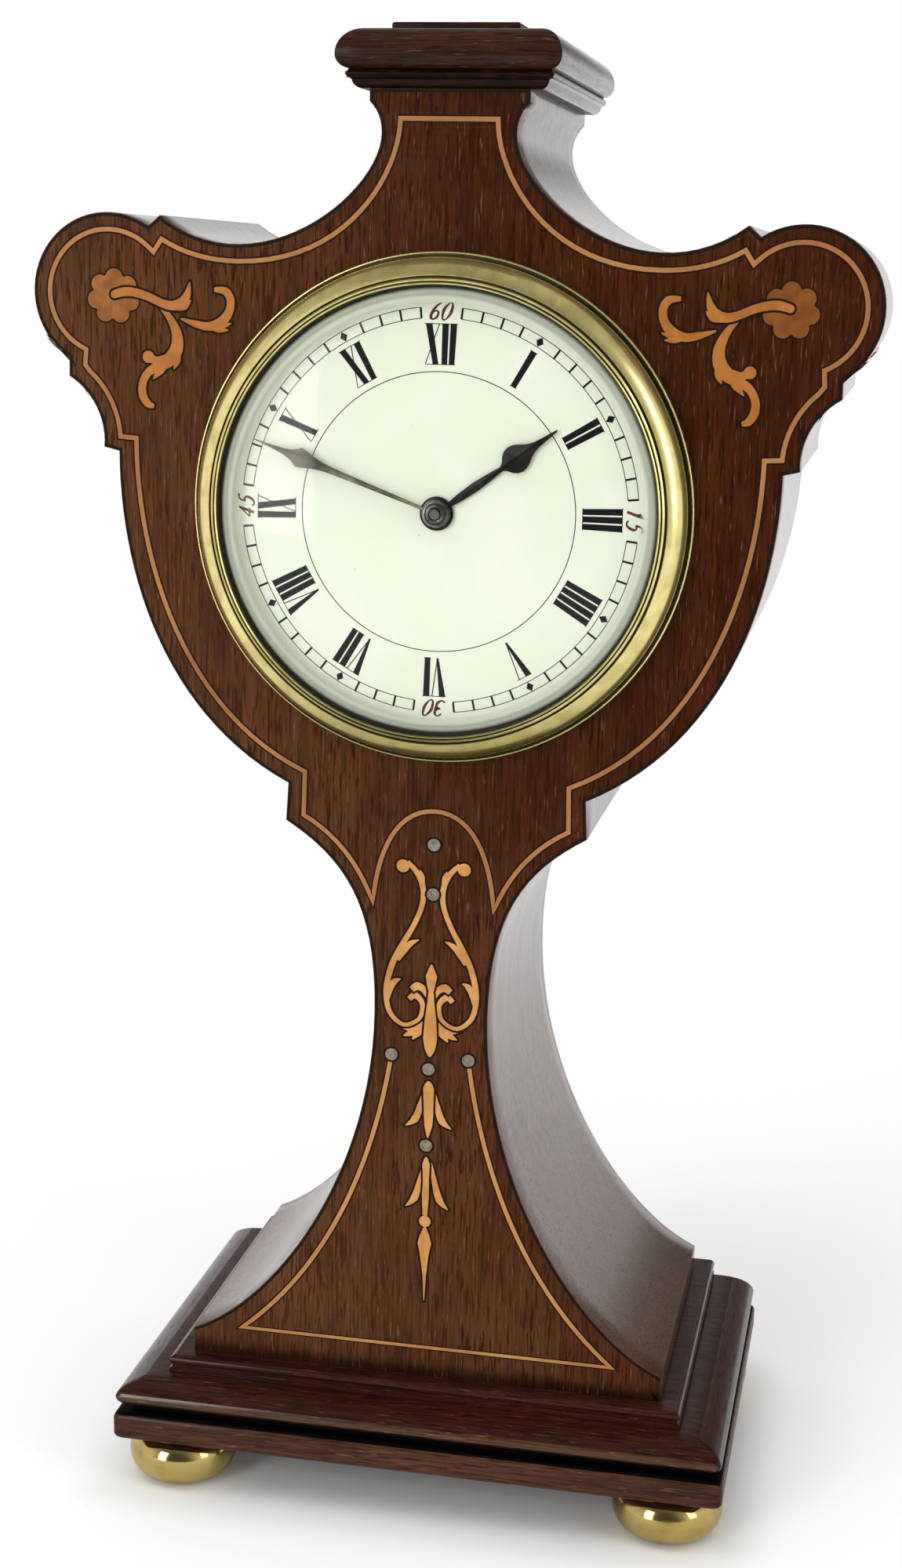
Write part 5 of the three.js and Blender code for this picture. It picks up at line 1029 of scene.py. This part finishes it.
track_inner = 36.0
track_outer = 38.0
figures = []
for number, letters in enumerate("XII I II III IIII V VI VII VIII IX X XI".split()):
    figures += [turned_about(outline, 30 * number) for outline in numeral(letters)]
tick = rectangle(-0.2, track_inner, 0.2, track_outer)
track_middle = (track_inner + track_outer) / 2
lozenge = [(0, track_inner + 0.05), (0.75, track_middle), (0, track_outer - 0.05), (-0.75, track_middle)]
for minute in range(60):
    if minute % 5:
        figures.append(turned_about(tick, 6 * minute))
    elif minute % 15:
        figures.append(turned_about(lozenge, 6 * minute))
numerals = paint("dial_numerals", figures, black_paint)
fit(numerals, "enamel")
track_rows, circle_rows = (-line_half, line_half), (-0.08, 0.08)
track = []
for quarter in range(4):
    for radius in (track_inner, track_outer):
        name = "track_" + str(len(track))
        line = arc(0, 0, radius, 90 * quarter + 4, 90 * quarter + 84, 40)
        track.append(strip(name, line, track_rows, [black_paint], False, on_dial, paint_height))
inner_line = circle(0, 0, 26.2, 144)
track.append(strip("inner_circle", inner_line, circle_rows, [black_paint], True, on_dial, paint_height))
fit(joined("minute_track", *track), "enamel")

pen = {
    "0": ([(0.5, 1.0), (0.1, 0.6), (0.2, 0.05), (0.6, 0.02), (0.95, 0.45), (0.85, 0.95), (0.5, 1.0)],
          (0.25, 0.6, 0.35, 0.25, 0.6, 0.35, 0.25)),
    "1": ([(0.15, 0.8), (0.5, 1.0), (0.45, 0.5), (0.4, 0.0)], (0.15, 0.35, 0.55, 0.55)),
    "3": ([(0.1, 0.85), (0.45, 1.0), (0.85, 0.82), (0.75, 0.6), (0.4, 0.52), (0.8, 0.42), (0.85, 0.15),
           (0.45, 0.0), (0.05, 0.12)], (0.35, 0.25, 0.5, 0.35, 0.2, 0.35, 0.55, 0.3, 0.35)),
    "4": ([(0.7, 1.0), (0.35, 0.6), (0.0, 0.3), (0.5, 0.3), (0.95, 0.3)], (0.3, 0.25, 0.2, 0.35, 0.2)),
    "4b": ([(0.7, 1.0), (0.65, 0.5), (0.6, 0.0)], (0.35, 0.55, 0.5)),
    "5": ([(0.9, 1.0), (0.4, 0.97), (0.3, 0.6), (0.65, 0.62), (0.85, 0.4), (0.7, 0.08), (0.35, 0.0),
           (0.05, 0.12)], (0.45, 0.3, 0.3, 0.3, 0.55, 0.45, 0.3, 0.4)),
    "6": ([(0.9, 1.0), (0.5, 0.85), (0.15, 0.45), (0.15, 0.12), (0.45, 0.0), (0.8, 0.15), (0.8, 0.42),
           (0.5, 0.52), (0.2, 0.35)], (0.25, 0.35, 0.55, 0.55, 0.3, 0.45, 0.45, 0.25, 0.25)),
}
digit_width, digit_height, digit_slope = 1.75, 3.0, 0.85
digit_foot = 35.7
digit_gap = 0.2
quarter_marks = []
for clock_angle, digits in ((0, ("6", "0")), (90, ("1", "5")), (180, ("3", "0")), (270, ("4", "4b", "5"))):
    for digit in digits:
        left = digit_gap if digit == digits[-1] else -digit_gap - digit_width
        points, widths = pen[digit]
        line = []
        for x, z in points:
            line.append((left + digit_width * x + digit_slope * (z - 0.5), digit_foot + digit_height * z))
        quarter_marks.append(turned_about(stroke(line, widths), clock_angle))
quarters = paint("quarter_minutes", quarter_marks, red_paint)
fit(quarters, "enamel")


# Hands
# Filed from steel sheet and blackened by heat: a pear hour hand and a slender minute hand with a lozenge.
# Each sits on its pipe; a turned steel collet and the end of the arbor hold them on.
def heated_steel(name, dark, bare):
    """Steel sheet blackened by heat, with file marks and places rubbed bare."""
    material, start = new_finish(name)
    file_marks = start.noise(start.spot(), 2.2, 3)
    heat = start.noise(start.spot(), 0.2, 3, 0.4).step(0.35, 0.75)
    start.surface({
        "Base Color": heat.tint(dark, bare),
        "Metallic": 0.85,
        "Roughness": 0.34 + 0.16 * file_marks,
        "Normal": start.bump(file_marks, 0.01, 0.4),
    })
    return material


hand_arris = 0.09


def hand(name, half, clock_angle, node, boss):
    """A hand cut from sheet: half its outline as (half width, along), mirrored and closed round its boss.
    It is pulled to thickness and its edges are eased."""
    front, back = depths(node)
    side_turn = math.degrees(math.asin(half[0][0] / boss))
    line = mirrored(half) + arc(0, 0, boss, 90 + side_turn, 450 - side_turn, 36)[:-1]
    piece = begin(name)
    draw([at(x, z, back) for x, z in turned_about(line, clock_angle)], filled=True)
    pull(0, front - back, 0)
    bpy.ops.mesh.select_all(action="SELECT")
    bpy.ops.mesh.normals_make_consistent(inside=False)
    bpy.ops.object.mode_set(mode="OBJECT")
    bpy.ops.object.modifier_add(type="BEVEL")
    bevel = piece.modifiers[-1]
    bevel.width = hand_arris / 1000
    bevel.segments = 2
    bevel.limit_method = "ANGLE"
    bevel.angle_limit = math.radians(50)
    bpy.ops.object.modifier_apply(modifier=bevel.name)
    bpy.ops.object.mode_set(mode="EDIT")
    return close_up(piece, 30)


hour_steel = heated_steel("blackened_steel", (0.012, 0.0115, 0.0095), (0.034, 0.031, 0.025))
hour_half = [(0.5, 3.05), (0.78, 5.5), (0.9, 9.0), (0.68, 12.5), (0.45, 15.0), (0.95, 15.7), (1.75, 16.3),
             (2.4, 17.1), (2.65, 18.1), (2.5, 19.1), (2.05, 20.0), (1.45, 20.9), (0.98, 21.8), (0.68, 22.9),
             (0.48, 24.3), (0.34, 26.0), (0.16, 27.6)]
hour_hand = hand("pear_hour_hand", hour_half, 54.15, "hour_hand", 3.2)
fit(hour_hand, "blued_steel", hour_steel, body="hour_work", instead_of="hour_hand")
minute_steel = heated_steel("rubbed_steel", (0.06, 0.055, 0.042), (0.22, 0.2, 0.15))
minute_half = [(0.3, 2.6), (0.36, 8.0), (0.45, 15.0), (0.55, 20.0), (0.7, 23.2), (1.1, 25.4), (1.65, 27.2),
               (1.9, 28.3), (1.45, 28.9), (0.9, 29.9), (0.55, 31.4), (0.33, 33.5), (0.1, 37.4)]
minute_hand = hand("slender_minute_hand", minute_half, 289.8, "minute_hand", 2.7)
fit(minute_hand, "blued_steel", minute_steel, body="minute_work", instead_of="minute_hand")
collet_steel = polished_metal("turned_steel", (0.15, 0.15, 0.14), (0.07, 0.07, 0.065), 0.25, 1.6, 0.5)
collet_front, collet_back = depths("hand_collet")
collet_bore, collet_radius = 1.15, 2.5
collet_profile = [(collet_bore, collet_back), (collet_radius, collet_back),
                  (collet_radius, collet_back - 0.25), (2.35, collet_back - 0.5), (2.05, collet_back - 0.55),
                  (1.95, collet_back - 0.45), (1.75, collet_front + 0.1), (1.4, collet_front),
                  (collet_bore, collet_front + 0.1), (collet_bore, collet_back)]
collet = turned("hand_collet_ring", collet_profile, at(0, 0), inward, 48)
fit(collet, "steel", collet_steel, body="minute_work", instead_of="hand_collet")
nodes["centre_arbor"].data.materials[0] = collet_steel


# Sight ring, glass and bezel
# A spun brass bezel with a fine rim bead, a groove and a broad rounded band, polished on the lathe.
# It holds a bevel-edged domed glass; a flat brass sight ring lies between the glass and the dial.
glass_top, glass_back = depths("glass")
glass_radius = 43
sight_inner = 41.55
sight_profile = [(sight_inner, glass_back), (glass_radius, glass_back), (glass_radius, dial_rim),
                 (sight_inner + 0.2, dial_rim), (sight_inner, dial_rim - 0.2), (sight_inner, glass_back)]
sight_ring = turned("flat_sight_ring", sight_profile, at(0, 0), inward, 128)
sight_brass = polished_metal("sight_brass", (0.6, 0.47, 0.2), (0.42, 0.3, 0.11), 0.2, 8, 1.0)
fit(sight_ring, "polished_brass", sight_brass, instead_of="sight_ring")

glass_lip = glass_back - 1.2
glass_dome = 1.9
glass_thickness = 1.5
bevel_radius = 38.6
dome_shares = [i / 10 for i in range(11)]
dome = [(bevel_radius * share, glass_top + glass_dome * share ** 2) for share in dome_shares]
glass_profile = [(radius, depth + glass_thickness) for radius, depth in dome]
glass_profile += [(41.9, glass_back - 0.05), (glass_radius, glass_back), (glass_radius, glass_lip + 0.05),
                  (41.85, glass_lip)]
glass_profile += reversed(dome)
glass = turned("bevelled_glass", glass_profile, at(0, 0), inward, 128, 20)
clear_glass, start = new_finish("clear_glass")
# Painted reflection and shade in the bevel: an opaque grey-green tone with painted bands of reflection,
# painted nearly black just inside the bezel lip as the shadow there.
radius = start.length((1, 0, 1), (0, 0, dial_height))
bevel_share = radius.step(38.5, 39.5) * (1.0 - radius.step(41.9, 42.3))
painted_rim_shadow = radius.step(40.9, 41.8)
smear = start.noise(start.spot(), 0.07, 3, 0.5)
painted_bevel_bands = start.node("TexNoise", {"noise_dimensions": "1D"}, {"W": radius, "Scale": 0.9, "Detail": 1.0})
shade = 0.88 - 0.25 * painted_bevel_bands.step(0.3, 0.7) - 0.88 * painted_rim_shadow
painted_bevel_tone = shade.tint((0.05, 0.055, 0.045), (0.8, 0.845, 0.7))
facing = start.node("LayerWeight", {}, {"Blend": 0.2}, "Fresnel")
reflected = start.node("BsdfGlossy", {}, {"Color": (1, 1, 1), "Roughness": 0.04})
tinted = start.node("BsdfPrincipled", {}, {"Base Color": painted_bevel_tone, "Roughness": 0.2})
through = start.node("BsdfTransparent", {}, {"Color": (0.985, 0.99, 0.98)})
cover = bevel_share * (0.35 + 0.25 * smear + 0.3 * painted_rim_shadow)
band = start.node("MixShader", {}, {0: cover, 1: through, 2: tinted})
pane = start.node("MixShader", {}, {0: facing * 0.55, 1: band, 2: reflected})
start.node("OutputMaterial", {}, {"Surface": pane})
fit(glass, "glass", clear_glass, instead_of="glass")

crest = depths("bezel")[0]
rim_radius, rim_height, bead_radius = 48, -1.52, 0.23
seat_radius, rebate_radius, lip_radius = 45.6, 43.3, 42.0
bezel_profile = [(seat_radius, 0), (rim_radius - 0.1, 0), (rim_radius, -0.1), (rim_radius, rim_height)]
bezel_profile += arc(rim_radius - bead_radius, rim_height, bead_radius, 0, -180, 9)
bezel_profile += [(47.53, -0.9), (47.1, -0.9), (47.0, -2.7)]
bend(bezel_profile, 16, (46.5, crest + 1.75), (43.75, crest + 0.75))
bezel_profile += [(43.55, crest + 0.85), (43.5, crest + 1.35), (43.25, crest + 1.35), (43.15, crest + 0.4),
                  (42.9, crest + 0.2), (42.7, crest + 0.3), (42.65, crest + 0.8), (42.45, crest + 0.8),
                  (42.4, crest + 0.1), (42.25, crest), (42.1, crest + 0.1), (lip_radius, crest + 0.3),
                  (lip_radius, glass_lip), (rebate_radius, glass_lip), (rebate_radius, dial_back),
                  (seat_radius, dial_back), (seat_radius, 0)]
bezel = turned("spun_bezel", bezel_profile, at(0, 0), inward, 144, 30)
bezel_brass, start = new_finish("bezel_brass")
radius = start.length((1, 0, 1), (0, 0, dial_height))
# Painted shade: the inner wall of the lip, which lies in shadow, is painted nearly black; the three grooves
# are painted dark with patina.
groove = 1.0 - radius.step(lip_radius + 0.02, lip_radius + 0.1)
for middle, clear, open_edge in ((47.24, 0.24, 0.32), (43.38, 0.17, 0.32), (42.55, 0.1, 0.22)):
    groove = groove + (1.0 - abs(radius - middle).step(clear, open_edge))
turning = start.node("TexNoise", {"noise_dimensions": "1D"}, {"W": radius, "Scale": 9.0, "Detail": 3.0})
tarnish = start.noise(start.spot(), 0.2, 4, 0.8).step(0.38, 0.68)
# Painted shade: the brass is painted darker and duller towards the bottom of the bezel, where its band faces
# down into shadowed reflections.
above = start.axis("Z", start.spot((1, 1, 1), (0, 0, dial_height)))
rubbed = 0.25 + 0.75 * above.step(-47, -22)
metal = rubbed.tint((0.3, 0.24, 0.08), tarnish.tint((0.9, 0.77, 0.33), (0.7, 0.58, 0.22)))
start.surface({
    "Base Color": (groove * 0.94).tint(metal, (0.02, 0.014, 0.006)),
    "Metallic": 0.9,
    "Roughness": 0.17 + 0.08 * tarnish + 0.06 * turning + 0.3 * groove,
    "Normal": start.bump(turning + tarnish, 0.015, 0.22),
})
fit(bezel, "polished_brass", bezel_brass, instead_of="bezel")


# Floor, light and camera
# A pale floor that fades to the white surround and carries a painted shadow close round the base, a soft lamp
# overhead, a window left and a weak lamp right.
# The camera stands a little to the right and above, where the photograph was taken.
bpy.ops.object.select_all(action="DESELECT")
bpy.ops.mesh.primitive_plane_add(size=3)
floor = bpy.context.object
floor.name = floor.data.name = "pale_floor"
paper, start = new_finish("pale_paper")
tone = start.noise(start.spot(), 0.01, 2)
place = start.spot()
base_half = 1000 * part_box("base_plate")[1]
out_x = start.maths("MAXIMUM", abs(start.axis("X", place)) - base_half.x, 0.0)
out_y = start.maths("MAXIMUM", abs(start.axis("Y", place)) - base_half.y, 0.0)
away = (out_x * out_x + out_y * out_y) ** 0.5
camera_ray = start.node("LightPath", out="Is Camera Ray")
glossy_ray = start.node("LightPath", out="Is Glossy Ray")
sight = start.maths("MAXIMUM", camera_ray, glossy_ray * start.axis("Y", place).step(150, 600))
matt = start.node("BsdfDiffuse", {}, {"Color": tone.tint((0.82, 0.82, 0.81), (0.84, 0.84, 0.83))})
glow = start.node("Emission", {}, {"Color": (1, 1, 1), "Strength": 0.16})
lit = start.node("AddShader", {}, {0: matt, 1: glow})
# Painted shadow: within about a centimetre of the base the floor loses its glow, so that the shadow round the
# base is darker.
near = start.node("MixShader", {}, {0: away.step(-4, 12), 1: matt, 2: lit})
white = start.node("Emission", {}, {"Color": (1, 1, 1), "Strength": 1.0})
faded = start.node("MixShader", {}, {0: away.step(40, 330), 1: near, 2: white})
start.node("OutputMaterial", {}, {"Surface": start.node("MixShader", {}, {0: sight, 1: matt, 2: faded})})
floor.data.materials.append(paper)

world = bpy.data.worlds.new("white_room")
bpy.context.scene.world = world
world.use_nodes = True
world.node_tree.nodes.clear()
air = Finish(world.node_tree)
seen = air.node("LightPath", out="Is Camera Ray")
reflection = air.node("LightPath", out="Is Glossy Ray")
passed = air.node("LightPath", out="Is Transmission Ray")
heading = air.node("TexCoord", out="Generated")
rightward, backward, upward = [air.axis(name, heading) for name in "XYZ"]
far_side = (0.8 * rightward + 0.6 * backward).step(-0.5, 0.35)
dark_corner = rightward.step(-0.1, 0.12) * backward.step(0.3, 0.8) * upward.step(0.06, 0.2)
ceiling = upward.step(0.2, 0.8)
left_side = 1.0 - rightward.step(-0.85, -0.35)
dark_front = 1.0 - backward.step(-0.95, -0.55)
walls = 0.5 + 0.48 * far_side + 0.4 * left_side
room = walls * (1.0 - 0.6 * ceiling) * (1.0 - 0.8 * dark_front) - 0.74 * dark_corner
sky = 0.32 + 0.55 * upward.step(-0.1, 0.7)
plain = seen.maths("MAXIMUM", seen, passed)
strength = plain + (1.0 - plain) * (reflection * room + (1.0 - reflection) * sky)
background = air.node("Background", {}, {"Color": (1, 1, 1), "Strength": strength})
air.node("OutputWorld", {}, {"Surface": background})

clock_middle = Vector((0, 0, 0.16))


def lamp(name, spot, width, height, watts):
    """A soft lamp like a window, aimed at the middle of the clock."""
    bpy.ops.object.light_add(type="AREA", location=spot)
    light = bpy.context.object
    light.name = light.data.name = name
    light.data.shape = "RECTANGLE"
    light.data.size = width
    light.data.size_y = height
    light.data.energy = watts
    light.rotation_euler = (clock_middle - Vector(spot)).to_track_quat("-Z", "Y").to_euler()
    return light


lamp("window_lamp", (-0.68, -1.2, 0.45), 0.4, 0.9, 8.0)
lamp("side_lamp", (0.95, -0.55, 0.5), 0.3, 0.8, 2.0)
top_lamp = lamp("top_lamp", (-0.3, -0.5, 1.4), 0.9, 0.6, 4.5)
top_lamp.visible_glossy = False

turn, fall, roll = [math.radians(degrees) for degrees in (11.15546, 12.26768, 1.26849)]
back = Vector((math.sin(turn) * math.cos(fall), -math.cos(turn) * math.cos(fall), math.sin(fall)))
level = (-back).cross(up).normalized()
rise = level.cross(-back)
right = level * math.cos(roll) + rise * math.sin(roll)
top = rise * math.cos(roll) - level * math.sin(roll)
eye = at(88.9197, 43.9403, -435.2753)
bpy.ops.object.camera_add()
camera = bpy.context.object
camera.data.lens = 53.85
camera.data.sensor_width = 36
camera.data.clip_start = 0.01
camera.matrix_world = Matrix.Translation(eye) @ Matrix((right, top, back)).transposed().to_4x4()
bpy.context.scene.camera = camera
